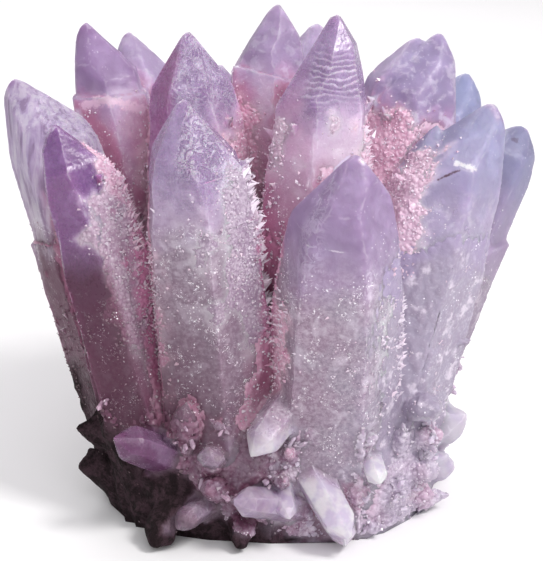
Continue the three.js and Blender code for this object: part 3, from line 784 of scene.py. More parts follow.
class Graph:
    """Adds the nodes of one material and joins them."""

    def __init__(self, name):
        self.material = bpy.data.materials.new(name)
        self.material.use_nodes = True
        self.tree = self.material.node_tree
        self.shader = self.tree.nodes["Principled BSDF"]
        self.places = self.tree.nodes.new("ShaderNodeTexCoord").outputs["Object"]

    def put(self, socket, value):
        """Joins a socket to another's output, or sets it."""
        if isinstance(value, bpy.types.NodeSocket):
            self.tree.links.new(value, socket)
        elif hasattr(value, "__len__") and len(value) == 3 and socket.type == "RGBA":
            socket.default_value = (*value, 1)
        else:
            socket.default_value = value

    def attribute(self, name):
        node = self.tree.nodes.new("ShaderNodeAttribute")
        node.attribute_name = name
        return node.outputs["Fac"]

    def noise(self, size, detail=2, roughness=0.5, distortion=0, stretch=None):
        """Noise with lumps of a size in metres."""
        node = self.tree.nodes.new("ShaderNodeTexNoise")
        node.inputs["Scale"].default_value = 1 / size
        node.inputs["Detail"].default_value = detail
        node.inputs["Roughness"].default_value = roughness
        node.inputs["Distortion"].default_value = distortion
        self.put(node.inputs["Vector"], self.stretched(stretch) if stretch else self.places)
        return node.outputs["Fac"]

    def stretched(self, scale):
        """The places, scaled along X, Y and Z."""
        node = self.tree.nodes.new("ShaderNodeMapping")
        node.inputs["Scale"].default_value = scale
        self.put(node.inputs["Vector"], self.places)
        return node.outputs["Vector"]

    def cells(self, size, metric="EUCLIDEAN"):
        """Distance from the middle and a colour of cells of a size in metres."""
        node = self.tree.nodes.new("ShaderNodeTexVoronoi")
        node.distance = metric
        node.inputs["Scale"].default_value = 1 / size
        self.put(node.inputs["Vector"], self.places)
        return node.outputs["Distance"], node.outputs["Color"]

    def math(self, operation, first, second=0.0, clamp=False):
        node = self.tree.nodes.new("ShaderNodeMath")
        node.operation = operation
        node.use_clamp = clamp
        self.put(node.inputs[0], first)
        self.put(node.inputs[1], second)
        return node.outputs[0]

    def times(self, first, *others):
        """The product of some numbers."""
        for other in others:
            first = self.math("MULTIPLY", first, other)
        return first

    def ramp(self, value, low, high, start=0.0, end=1.0):
        """Maps low..high to start..end, smoothly and within those."""
        node = self.tree.nodes.new("ShaderNodeMapRange")
        node.interpolation_type = "SMOOTHSTEP"
        for socket, number in zip(node.inputs[:5], (value, low, high, start, end)):
            self.put(socket, number)
        return node.outputs[0]

    def mix(self, share, first, second):
        """A colour between two."""
        node = self.tree.nodes.new("ShaderNodeMix")
        node.data_type = "RGBA"
        self.put(node.inputs["Factor"], share)
        self.put(node.inputs[6], first)
        self.put(node.inputs[7], second)
        return node.outputs[2]

    def tint(self, skin, colour, name, *strengths):
        """Colours the skin by an attribute, times any strengths."""
        return self.mix(self.times(self.attribute(name), *strengths), skin, colour)

    def bump(self, height, distance, strength=1.0, under=None):
        """Relief of a height map, over another relief."""
        node = self.tree.nodes.new("ShaderNodeBump")
        self.put(node.inputs["Strength"], strength)
        node.inputs["Distance"].default_value = distance
        self.put(node.inputs["Height"], height)
        if under is not None:
            self.put(node.inputs["Normal"], under)
        return node.outputs[0]

    def off_middle(self, value):
        """How far noise is from its middle."""
        return self.math("ABSOLUTE", self.math("SUBTRACT", value, 0.5))

    def worms(self):
        """How far each place is from the middle of crinkled lines."""
        return self.off_middle(self.noise(1.5 * MM, 3, 0.6, 1))

    def treads(self):
        """Rises from 0 to 1 over each growth step of a face."""
        wavy = self.times(self.noise(6 * MM, 3, 0.6), TREAD_WAVES)
        level = self.times(self.attribute("share"), TREADS_A_LENGTH)
        return self.math("FRACT", self.math("ADD", level, wavy))

    def painted_glints(self):
        """1 on painted glints, tiny bright specks that lie in loose groups, 0 between them."""
        distance, own = self.cells(PAINTED_GLINT_SIZE, "MANHATTAN")
        chosen = self.ramp(self.channel(own), 0.6, 0.68)
        small = self.ramp(distance, 0.46, 0.3)
        return self.times(chosen, small, self.ramp(self.noise(4.5 * MM, 3, 0.75), 0.54, 0.61))

    def strokes(self):
        """1 on painted glints drawn as short bright lines that lie in loose groups, 0 between them."""
        lines = self.ramp(self.off_middle(self.noise(0.9 * MM, 1, 0.5, 2)), 0.035, 0.01)
        broken = self.ramp(self.noise(0.5 * MM, 1), 0.48, 0.56)
        return self.times(lines, broken, self.ramp(self.noise(3.4 * MM, 4, 0.7, 0.5), 0.51, 0.57))

    def gap_colour_and_shade(self, skin, druse):
        """Colours the narrow gaps between the front points crimson, with painted shade that deepens low
        down.
        """
        depth = self.ramp(self.height(), GAP_DEEP, GAP_LIGHT)
        return self.tint(skin, self.mix(depth, druse.deep, druse.crimson), "crimson", 0.8)

    def vector(self, operation, first, second, output="Vector"):
        node = self.tree.nodes.new("ShaderNodeVectorMath")
        node.operation = operation
        for socket, value in zip(node.inputs, (first, second)):
            self.put(socket, value)
        return node.outputs[output]

    def near_line(self, scar):
        """1 on a scar, 0 beside it."""
        start, end = (np.array(p) * MM for p in (scar.start, scar.end))
        span = end - start
        offset = self.vector("SUBTRACT", self.places, tuple(start))
        along = self.vector("DOT_PRODUCT", offset, tuple(span / (span @ span)), "Value")
        along = self.math("MINIMUM", self.math("MAXIMUM", along, 0), 1)
        nearest = self.scaled(tuple(span), along)
        apart = self.vector("DISTANCE", offset, nearest, "Value")
        half = scar.width * MM / 2
        uneven = self.times(self.math("SUBTRACT", self.noise(0.7 * MM, 3, 0.7), 0.5), 2.4 * half)
        return self.ramp(self.math("ADD", apart, uneven), half, 0.3 * half)

    def scaled(self, way, share):
        """A direction times a number."""
        node = self.tree.nodes.new("ShaderNodeVectorMath")
        node.operation = "SCALE"
        node.inputs[0].default_value = way
        self.put(node.inputs["Scale"], share)
        return node.outputs["Vector"]

    def height(self):
        """The height over the floor, in metres."""
        node = self.tree.nodes.new("ShaderNodeSeparateXYZ")
        self.put(node.inputs[0], self.places)
        return node.outputs["Z"]

    def channel(self, tint):
        """The red of a colour."""
        node = self.tree.nodes.new("ShaderNodeSeparateColor")
        self.put(node.inputs["Color"], tint)
        return node.outputs["Red"]

    def absorb(self, tint, density):
        """Gives the inside a tint that deepens with thickness."""
        node = self.tree.nodes.new("ShaderNodeVolumeAbsorption")
        node.inputs["Color"].default_value = (*tint, 1)
        node.inputs["Density"].default_value = density
        self.put(self.tree.nodes["Material Output"].inputs["Volume"], node.outputs[0])

    def set(self, **sockets):
        """Sets or joins sockets of the shader, named with underscores for spaces."""
        for name, value in sockets.items():
            self.put(self.shader.inputs[name.replace("_", " ")], value)


QUARTZ_IOR = 1.544
LIGHTER_FROM = 41 * MM  # above this the bodies of the points get lighter
LIGHTER_TO = 60 * MM

# Colours of the points and their foot that are the same wherever they are used
PALE_PINK = srgb(216, 196, 218)
PALE_MILK = srgb(218, 213, 228)
SPECK = srgb(228, 218, 230)
CLOUD = srgb(226, 216, 230)
WINE_FOOT = srgb(112, 64, 96)
GREY_FOOT = srgb(182, 167, 188)
ROSY = srgb(212, 168, 198)
STREAK = srgb(222, 214, 228)
DARK_STREAK = srgb(138, 110, 148)
MOTTLE = srgb(222, 213, 232)
ETCHING = srgb(236, 226, 246)
TREAD = srgb(240, 226, 248)
# white streaks of the clear points, partly milky veils and partly painted reflection
VEIN_AND_REFLECTION = srgb(230, 220, 242)
CLEAR_WHITE = srgb(255, 250, 255)
BROWN_ROCK_AND_SHADE = srgb(64, 47, 54)
# chips and painted highlights along the edges that stand out
CHIP_AND_EDGE_HIGHLIGHT = srgb(240, 234, 244)
INSIDE = srgb(196, 160, 214)
INSIDE_DENSITY = 22


def body_colour(g, settings, cloud):
    """The frosted body: pink or milky, paler high up, with clouds and specks."""
    veil = g.noise(7 * MM, 3, 0.6, 0.6)
    pink = g.math("MULTIPLY", g.ramp(veil, 0.3, 0.62), g.attribute("blush"), True)
    body = g.mix(pink, settings.frost, settings.blush)
    body = g.mix(g.ramp(cloud, 0.5, 0.7, 0, 0.55), body, settings.frost)
    body = g.tint(body, settings.milk, "milk", g.ramp(veil, 0.3, 0.6, 1, 0.6))
    pale = g.tint(PALE_PINK, PALE_MILK, "milk")
    body = g.mix(g.ramp(g.height(), LIGHTER_FROM, LIGHTER_TO, 0, 0.85), body, pale)
    body = g.mix(g.ramp(g.noise(0.6 * MM, 3, 0.7), 0.35, 0.7, 0, 0.3), body, SPECK)
    body = g.mix(g.ramp(g.noise(3.2 * MM, 2, 0.5, 0.8), 0.54, 0.66, 0, 0.3), body, CLOUD)
    footing = g.mix(g.ramp(g.noise(3.5 * MM, 3), 0.4, 0.6), WINE_FOOT, GREY_FOOT)
    footing = g.tint(footing, settings.milk, "milk")
    return g.tint(body, footing, "foot", 0.9)


def painted_body_glints(g):
    """Painted glints, specks and short lines, on the bodies: fewer in the shade, at the foot and high up.
    """
    lines = g.times(g.strokes(), g.ramp(g.attribute("tip"), 0.3, 0.7, 0.9, 0))
    above_foot = g.ramp(g.attribute("foot"), 0, 0.5, 1, 0)
    lit = g.ramp(g.attribute("shade"), 0.4, 1, 1, 0.3)
    low = g.ramp(g.height(), 42 * MM, 52 * MM, 1, 0.4)
    return g.times(g.math("MAXIMUM", g.painted_glints(), lines), above_foot, lit, low)


def chipped_and_highlit_edges(g):
    """1 on worn edges, where a chip is lost and as a painted highlight along the edges that stand out.
    The shade and the dark rock have few.
    """
    worn = g.ramp(g.attribute("edge"), 0.6, 0.95)
    here = g.ramp(g.noise(1.1 * MM, 3), 0.42, 0.62, 0, 0.25)
    lit = g.ramp(g.attribute("shade"), 0, 0.6, 1, 0.15)
    return g.times(worn, here, lit, g.ramp(g.attribute("matrix"), 0, 0.5, 1, 0))


def face_colours(g, skin, settings, cloud):
    """Colours the faces that look unlike the rest, and the druse's ground."""
    druse = bpy.context.scene.cluster_druse
    skin = g.tint(skin, settings.cool, "cool")
    skin = g.tint(skin, settings.magenta, "magenta", g.ramp(cloud, 0.3, 0.7, 0.9, 0.5))
    skin = g.tint(skin, settings.valley, "valley", 0.85)
    skin = g.tint(skin, ROSY, "rosy", 0.8)
    grains = g.tint(druse.white, druse.pink, "pink")
    skin = g.mix(g.ramp(g.attribute("crust"), 0, 0.6, 0, 0.92), skin, grains)
    streaks = g.noise(1.2 * MM, 3, 0.6, 0.4, (1, 1, 0.16))
    skin = g.tint(skin, STREAK, "streaked", g.ramp(streaks, 0.44, 0.6, 0, 0.75))
    skin = g.tint(skin, DARK_STREAK, "streaked", g.ramp(streaks, 0.46, 0.36, 0, 0.6))
    mottles = g.ramp(g.noise(1.9 * MM, 4, 0.6, 0.4), 0.5, 0.64, 0, 0.65)
    skin = g.tint(skin, MOTTLE, "mottled", mottles)
    skin = g.tint(skin, ETCHING, "etched", g.ramp(g.worms(), 0.075, 0.015, 0, 0.8))
    return g.tint(skin, TREAD, "stepped", g.ramp(g.treads(), 0.5, 0.9))


def crystal_colour(g, settings, cloud):
    """The colour of the points and their foot, from the body out to its painted shade, painted glints,
    scars and chipped edges with painted highlights.
    """
    druse = bpy.context.scene.cluster_druse
    violet = g.attribute("violet")
    depth = g.math("MULTIPLY", violet, g.ramp(cloud, 0.3, 0.7, 1.15, 0.85), True)
    ends = g.mix(depth, settings.lilac, settings.violet)
    skin = g.tint(body_colour(g, settings, cloud), ends, "tip")
    skin = face_colours(g, skin, settings, cloud)
    # the clear points' white streaks: partly veils, partly painted reflection
    veins_and_reflections = g.mix(g.ramp(g.noise(1.8 * MM, 2, 0.5), 0.36, 0.62), VEIN_AND_REFLECTION, CLEAR_WHITE)
    skin = g.tint(skin, g.mix(violet, veins_and_reflections, settings.violet), "clear", 0.9)
    # painted shade, partly the points' own wine red
    skin = g.tint(skin, settings.shade, "shade", 0.9)
    # painted glints
    skin = g.mix(painted_body_glints(g), skin, druse.painted_glint)
    for scar in SCARS:
        skin = g.mix(g.near_line(scar), skin, srgb(*scar.tint))
    skin = g.gap_colour_and_shade(skin, druse)
    # dark rock, also painted shade at the lower left
    rock = g.mix(g.ramp(g.noise(1.8 * MM, 4, 0.7), 0.42, 0.62), settings.matrix, BROWN_ROCK_AND_SHADE)
    skin = g.tint(skin, rock, "matrix")
    return g.mix(chipped_and_highlit_edges(g), skin, CHIP_AND_EDGE_HIGHLIGHT)


def crystal_finish(settings):
    """Frosted quartz: milky and pink below, clearer and violet at the tips."""
    g = Graph("frosted_amethyst")
    tip, clear, matrix = (g.attribute(n) for n in ("tip", "clear", "matrix"))
    cloud = g.noise(2.4 * MM, 4, 0.62)
    g.set(Base_Color=crystal_colour(g, settings, cloud))
    through = g.times(g.ramp(tip, 0.2, 1, 0, 0.4), g.ramp(cloud, 0.4, 0.7, 1, 0.6))
    through = g.math("MAXIMUM", through, g.times(clear, 0.3))
    covered = g.math("ADD", g.attribute("crust"), g.math("ADD", g.attribute("valley"), matrix))
    g.set(Transmission_Weight=g.times(through, g.ramp(covered, 0, 0.4, 1, 0)))
    dull = g.math("MINIMUM", g.ramp(tip, 0, 1, 0.42, 0.24), g.ramp(clear, 0, 1, 0.42, 0.1))
    dull = g.math("MAXIMUM", dull, g.times(matrix, 0.85))
    dull = g.math("MAXIMUM", dull, g.ramp(g.attribute("soft"), 0, 0.4, 0, 0.48))
    g.set(Roughness=g.math("ADD", dull, g.ramp(g.noise(0.5 * MM, 2), 0.3, 0.7, -0.06, 0.08)))
    dark = g.math("MAXIMUM", matrix, g.times(g.attribute("shade"), 0.8))
    g.set(Specular_IOR_Level=g.ramp(dark, 0, 1, 0.5, 0.12))
    firm = g.math("MAXIMUM", matrix, g.times(clear, 0.3))
    g.set(Subsurface_Weight=g.ramp(firm, 0, 1, 0.85, 0))
    g.set(Normal=crystal_relief(g, cloud))
    g.set(IOR=QUARTZ_IOR, Subsurface_Radius=(1, 0.75, 0.9), Subsurface_Scale=4 * MM)
    g.absorb(INSIDE, INSIDE_DENSITY)
    return g.material


def crystal_relief(g, cloud):
    """The fine relief: pits everywhere, crinkles where etched, and steps where a face grew in them."""
    pits = g.bump(g.cells(0.55 * MM)[0], 0.05 * MM, 0.4)
    strength = g.ramp(g.attribute("tip"), 0, 1, 0.5, 0.25)
    frosted = g.bump(g.noise(0.35 * MM, 3, 0.7), 0.1 * MM, strength, pits)
    crinkles = g.bump(g.ramp(g.worms(), 0.11, 0), 0.3 * MM, g.attribute("etched"), frosted)
    stepped = g.bump(g.treads(), 0.5 * MM, g.attribute("stepped"), crinkles)
    rough = g.bump(g.noise(1.6 * MM, 3, 0.7), 1.2 * MM, g.attribute("matrix"), stepped)
    return g.bump(cloud, 0.3 * MM, 0.5, rough)


# What a triangle takes over from its corners, as their mean
AVERAGED = ("tip", "valley", "foot", "matrix", "share", "shade", "clear", "edge", "crust", "pink")
SURPLUS = 1.5  # how many places are tried for each one that is wanted
LEAST_APART = 0.6  # of the spacing: the side of a cell that holds one place at most


class Surface:
    """The triangles of the crystals, with what the crystal finish knows at each."""

    def __init__(self):
        mesh = bpy.data.objects["crystals"].data
        self.corners = triangles_of(mesh)
        self.places = vertices_of(mesh)[0][self.corners]
        sides = self.places[:, 1:] - self.places[:, :1]
        across = np.cross(sides[:, 0], sides[:, 1])
        twice = np.linalg.norm(across, axis=1)
        self.area = twice / 2
        self.normals = across / np.maximum(twice, 1e-15)[:, None]
        self.middle = self.places.mean(1)
        for name in AVERAGED:
            setattr(self, name, read_attribute(mesh, name)[self.corners].mean(1))
        self.owner = read_attribute(mesh, "owner")[self.corners[:, 0]].astype(int)
        self.azimuth = read_attribute(mesh, "azimuth")[self.corners[:, 0]]
        self.up = axes()[3][self.owner]

    def sow(self, cover, spacing, random):
        """Triangles and places picked at random where cover is high, about a spacing apart."""
        wanted = self.area * cover / spacing**2
        count = int(wanted.sum() * SURPLUS)
        picked = random.choice(len(wanted), count, p=wanted / wanted.sum())
        split = np.sqrt(random.random(count))
        slide = random.random(count)
        shares = np.stack([1 - split, split * (1 - slide), split * slide], 1)
        places = np.einsum("nc,nck->nk", shares, self.places[picked])
        cells = np.floor(places / (spacing * LEAST_APART)).astype(int)
        kept = np.sort(np.unique(cells, axis=0, return_index=True)[1])
        return picked[kept], places[kept]

    def lean(self, picked, upward, wild, random):
        """Directions out of the surface, leaning up along the large point and at random."""
        ways = self.normals[picked] + upward * self.up[picked]
        return ways + wild * random.standard_normal((len(picked), 3))


SIDES = 6
BOX_SLACK = 1.1 * MM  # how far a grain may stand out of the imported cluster's box
POINT_ROOT = 0.25  # of its length, that a point reaches into what carries it
SPIKE_ROOT = 0.2
UNEVEN = 0.16  # how much the corners of a grain differ


def ring_of(sides):
    """The corners of an even outline that is 1 wide."""
    turn = 2 * math.pi * np.arange(sides) / sides
    return np.stack([np.cos(turn), np.sin(turn)], 1) / 2


def point_shape():
    """The vertices and faces of a small point. A vertex has x and y as shares of the width, and z
    as a share of the length and a share of the width."""
    ring = ring_of(SIDES)
    step = np.where(np.arange(SIDES) % 2, -0.58, -0.74)
    root = np.column_stack([ring * 0.85, np.full(SIDES, -POINT_ROOT), np.zeros(SIDES)])
    shoulder = np.column_stack([ring, np.ones(SIDES), step])
    after = [(k + 1) % SIDES for k in range(SIDES)]
    faces = [tuple(range(SIDES - 1, -1, -1))]
    faces += [(k, n, SIDES + n, SIDES + k) for k, n in enumerate(after)]
    faces += [(SIDES + k, SIDES + n, 2 * SIDES) for k, n in enumerate(after)]
    return np.concatenate([root, shoulder, [[0.04, -0.03, 1, 0]]]), faces


def spike_shape(sides):
    """A small point that is all end: a pyramid with its root inside what carries it."""
    root = np.column_stack([ring_of(sides), np.full(sides, -SPIKE_ROOT), np.zeros(sides)])
    faces = [tuple(range(sides - 1, -1, -1))]
    faces += [(k, (k + 1) % sides, sides) for k in range(sides)]
    return np.concatenate([root, [[0, 0, 1, 0]]]), faces


class Grains(NamedTuple):
    """Small points to be grown: the triangle and place that each stands on, and its form."""

    picked: np.ndarray
    places: np.ndarray
    widths: np.ndarray
    lengths: np.ndarray
    towards: np.ndarray
    tints: np.ndarray


def grow(name, shape, grains, random):
    """One mesh of many small points, each with its own tint from 0 to 1, and which were kept."""
    template, faces = shape
    count, corners = len(grains.places), len(template)
    widths = grains.widths[:, None]
    spin = random.random(count)[:, None] * 2 * math.pi
    uneven = 1 + UNEVEN * random.standard_normal((count, corners, 1))
    across, aside = np.moveaxis(template[None, :, :2] * uneven, 2, 0)
    x = across * np.cos(spin) - aside * np.sin(spin)
    y = across * np.sin(spin) + aside * np.cos(spin)
    z = template[None, :, 2] * grains.lengths[:, None] + template[None, :, 3] * widths
    local = np.stack([x * widths, y * widths, z], 2)
    turned_out = np.einsum("nvk,nkj->nvj", local, bases(unit(grains.towards)))
    vertices = grains.places[:, None] + turned_out
    vertices[..., 2] = np.maximum(vertices[..., 2], 0)
    low, high = (np.array(c) for c in CAD_BOX)
    kept = ((vertices > low - BOX_SLACK) & (vertices < high + BOX_SLACK)).all((1, 2))
    mesh = joined_mesh(name, vertices[kept], faces)
    write_attribute(mesh, "tint", np.repeat(grains.tints[kept], corners))
    write_attribute(mesh, "glint", np.repeat(random.random(count)[kept], corners))
    return mesh, kept


def joined_mesh(name, vertices, faces):
    """A mesh with the same faces on each row of vertices."""
    count, corners = vertices.shape[:2]
    loops = np.concatenate([np.array(f) for f in faces])
    loops = (loops[None] + corners * np.arange(count)[:, None]).ravel()
    sizes = np.tile(np.array([len(f) for f in faces]), count)
    mesh = bpy.data.meshes.new(name)
    mesh.vertices.add(count * corners)
    mesh.vertices.foreach_set("co", vertices.ravel())
    mesh.loops.add(len(loops))
    mesh.loops.foreach_set("vertex_index", loops.astype(np.int32))
    mesh.polygons.add(len(sizes))
    mesh.polygons.foreach_set("loop_start", (np.cumsum(sizes) - sizes).astype(np.int32))
    mesh.polygons.foreach_set("use_smooth", np.zeros(len(sizes), bool))
    mesh.update(calc_edges=True)
    mesh.validate()
    return mesh


def plant(context, name, shape, grains, surface, random, material, blend=0.0):
    """Sets grains on the crystals as one piece. Each knows how much dark rock and shade it stands
    on, and blend is how far it takes on the colour of the crystal under it."""
    mesh, kept = grow(name, shape, grains, random)
    corners = len(shape[0])
    picked = grains.picked[kept]
    write_attribute(mesh, "matrix", np.repeat(surface.matrix[picked], corners))
    write_attribute(mesh, "shade", np.repeat(surface.shade[picked], corners))
    write_attribute(mesh, "blend", np.full(len(picked) * corners, blend))
    place_piece(context, mesh, material)


def sowing(context, step):
    """The druse's settings, random numbers of one operator's own, and the surface to sow."""
    settings = context.scene.cluster_druse
    return settings, np.random.default_rng(settings.seed + step), Surface()


def sizes_about(middle, spread, count, random):
    """Random sizes around a middle one."""
    return middle * np.exp(spread * random.standard_normal(count))


def tints_about(means, spread, random):
    """Random tints from 0 to 1 around the given ones."""
    return np.clip(means + spread * random.standard_normal(len(means)), 0, 1)


SHADED_GRAIN = srgb(100, 62, 76)
# grains on the dark rock, also painted shade
ROCK_AND_SHADE_GRAIN = srgb(84, 62, 66)


def druse_finish(settings):
    """Tiny clear-faced grains, from white to pink."""
    if "druse" in bpy.data.materials:
        return bpy.data.materials["druse"]
    g = Graph("druse")
    glint = g.attribute("glint")
    body = g.tint(settings.white, bpy.context.scene.cluster_crystals.frost, "blend")
    skin = g.tint(body, settings.pink, "tint")
    skin = g.mix(g.ramp(glint, 0.8, 1, 0, 0.5), skin, settings.white)
    skin = g.tint(skin, SHADED_GRAIN, "shade", 0.85)
    skin = g.tint(skin, ROCK_AND_SHADE_GRAIN, "matrix", 0.85)
    g.set(Base_Color=skin, Roughness=g.ramp(glint, 0, 1, 0.34, 0.1), IOR=QUARTZ_IOR)
    return g.material


def in_use(corners):
    """The vertices that some triangles use, and the triangles counted over those alone."""
    used, where = np.unique(corners, return_inverse=True)
    return used, where.reshape(-1, 3)


def halved(corners, values):
    """Splits every triangle in four. A new vertex has the mean of the values at its edge's ends."""
    edges = np.concatenate([corners[:, [0, 1]], corners[:, [1, 2]], corners[:, [2, 0]]])
    edges = np.sort(edges, axis=1)
    ends, where = np.unique(edges, axis=0, return_inverse=True)
    ab, bc, ca = len(values) + where.reshape(3, -1)
    a, b, c = corners.T
    parts = ((a, ab, ca), (b, bc, ab), (c, ca, bc), (ab, bc, ca))
    return np.concatenate([np.stack(p, 1) for p in parts]), np.concatenate([values, values[ends].mean(1)])


def scatter(points, turn):
    """A number from 0 to 1 for each point, unlike that of its neighbours."""
    return np.mod(np.sin(points @ (12.9898, 78.233, 37.719) + turn) * 43758.5453, 1)


def lumps(places, sizes, facets):
    """Height from 0 to 1 of a crust of lumps, and a number for each lump. Sizes are in metres;
    facets makes small points of the lumps."""
    found = [noise.voronoi(Vector(p) / s) for p, s in zip(places, sizes)]
    near = np.array([f[0][0] for f in found])
    gap = np.array([f[0][1] for f in found]) - near
    centres = np.array([f[1][0] for f in found])
    offsets = places / sizes[:, None] - centres
    slopes = np.zeros(len(places))
    for k in range(3):
        way = unit(np.stack([scatter(centres, 3 * k + j) - 0.5 for j in range(3)], 1))
        slopes = np.maximum(slopes, np.abs(np.einsum("nk,nk->n", offsets, way)))
    round_top = smooth(0, 0.5, gap) * (1 - 0.5 * near)
    own = scatter(centres, 20)
    pointed = np.clip(1.1 - 1.5 * slopes, 0, 1)
    return ((1 - facets) * round_top + facets * pointed) * (0.6 + 0.4 * own), own


class Sheet(NamedTuple):
    """A crust over some part of the crystals."""

    name: str
    halvings: int  # how often the crystals' triangles are split for it
    lump: float  # width of a lump in millimetres
    height: float  # millimetres
    facets: float  # 0 for round lumps, 1 for small points
    pink: float
    pale: tuple  # the colour of its lumps
    deep: tuple  # the colour between them: partly its own deeper tone, partly painted shade in the hollows
    patches: float  # how much of it is deep in patches
    snow: float = 0  # how much of it is white in flecks
    fine: float = 0.4  # how much of it is white in specks


SHEETS = [
    Sheet("valley_crust", 1, 0.9, 0.32, 0.6, 0.45, (206, 184, 202), (178, 146, 170), 0.5),
    Sheet("left_flank_crust", 2, 0, 0, 0.5, 0, (194, 180, 196), (152, 131, 155), 0.6),
    Sheet("right_flank_crust", 2, 0, 0, 0.5, 0, (214, 198, 212), (182, 160, 180), 0.4),
    Sheet("side_crust", 1, 1.1, 0.26, 0.8, 0, (156, 144, 164), (138, 125, 144), 0.35, 0.6, 0.12),
    Sheet("foot_crust", 2, 0.85, 0.4, 1, 0.35, (184, 172, 190), (136, 94, 124), 0.5, 0.6),
]
BURIED = -0.035 * MM
THIN = 0.1  # the least cover that is worth a crust
FLANK_LUMP = 1.65  # of the grain's width: how wide a lump on a flank is
FLANK_RISE = 0.36  # of a lump's width: how high it is
SINKING = 1.15  # of a crust's height: how deep it sinks where it ends
SINKS_UNDER = 0.6  # the cover below which it sinks
DRAWN_OUT = (1, 1, 0.6)  # makes the lumps of the side crust taller than wide
CARRIED = (
    "tip", "valley", "foot", "matrix", "share", "milk", "shade", "clear", "crust", "pink", "grain",
    "crimson",
)


def sheet_cover(name, places, has):
    """How thickly a crust lies at each place, from 0 to 1."""
    bare = (1 - has["clear"]) * (1 - has["matrix"])
    valley = smooth(0.3, 0.75, has["valley"]) * smooth(0.92, 0.7, has["share"])
    valley *= smooth(12 * MM, 20 * MM, places[:, 2]) * (1 - has["foot"])
    x, high = places[:, 0], smooth(36 * MM, 46 * MM, places[:, 2])
    valley *= 1 - high * smooth(-17.5 * MM, -19.5 * MM, x)
    valley *= 1 - 0.85 * high * smooth(-5.5 * MM, -4 * MM, x) * smooth(8 * MM, 6 * MM, x)
    side = has["milk"] * (1 - has["tip"]) * (1 - has["foot"])
    side *= smooth(11 * MM, 17 * MM, x + 3 * MM * waves(places, 5 * MM, 41))
    flank = np.minimum(has["crust"], 1)
    foot = has["foot"] * smooth(0.3, 0, has["clear"]) * smooth(0.4 * MM, 1.5 * MM, places[:, 2])
    covers = {
        "valley_crust": valley * (1 - flank),
        "left_flank_crust": flank * (places[:, 0] < 0),
        "right_flank_crust": flank * (places[:, 0] >= 0),
        "side_crust": side * (1 - flank) * (1 - valley),
        "foot_crust": foot,
    }
    return covers[name] * bare


def crust_pink(sheet, places, has):
    """How pink a crust is at each place."""
    if sheet.lump == 0:
        return has["pink"]
    x = places[:, 0]
    pink = sheet.pink * (1 + 0.8 * smooth(8 * MM, 0, x)) * smooth(32 * MM, 24 * MM, x)
    if sheet.name == "foot_crust":
        pink = pink * smooth(0, 0.5, waves(places, 6 * MM, 43))
    return pink


def lay_crust(context, sheet):
    """Lays one crust over the crystals: a skin of lumps that sinks into them where it ends."""
    source = bpy.data.objects["crystals"].data
    places, normals = vertices_of(source)
    has = {name: read_attribute(source, name) for name in CARRIED}
    cover = sheet_cover(sheet.name, places, has)
    corners = triangles_of(source)
    used, corners = in_use(corners[cover[corners].max(1) > THIN])
    values = np.column_stack([places, normals, cover, *has.values()])[used]
    for _ in range(sheet.halvings):
        corners, values = halved(corners, values)
    places, normals, cover = values[:, :3], unit(values[:, 3:6]), values[:, 6]
    has = dict(zip(CARRIED, values[:, 7:].T))
    if sheet.lump == 0:
        sizes = FLANK_LUMP * has["grain"] * MM
        heights = FLANK_RISE * sizes
    else:
        sizes = np.full(len(places), sheet.lump * MM)
        heights = sheet.height * MM
    stretch = DRAWN_OUT if sheet.name == "side_crust" else (1, 1, 1)
    rise, own = lumps(places * stretch, sizes, sheet.facets)
    out = np.maximum(heights * (rise - SINKING * (1 - smooth(0, SINKS_UNDER, cover))), BURIED)
    used, corners = in_use(corners[(out[corners] > BURIED).any(1)])
    moved = (places + normals * out[:, None])[used]
    moved[:, 2] = np.maximum(moved[:, 2], 0)
    mesh = bpy.data.meshes.new(sheet.name)
    mesh.from_pydata(moved, [], corners)
    mesh.polygons.foreach_set("use_smooth", np.ones(len(corners), bool))
    kept = {name: has[name] for name in ("matrix", "shade", "valley", "milk", "crimson")}
    kept |= {"pink": crust_pink(sheet, places, has), "rise": rise, "own": own}
    kept["ending"] = smooth(0.95, 0.4, cover)
    for name, numbers in kept.items():
        write_attribute(mesh, name, numbers[used])
    mesh.update()
    place_piece(context, mesh, crust_finish(sheet, context.scene.cluster_druse))


MILKY_GAP = srgb(166, 158, 178)
FADED_SIDE = srgb(158, 143, 176)


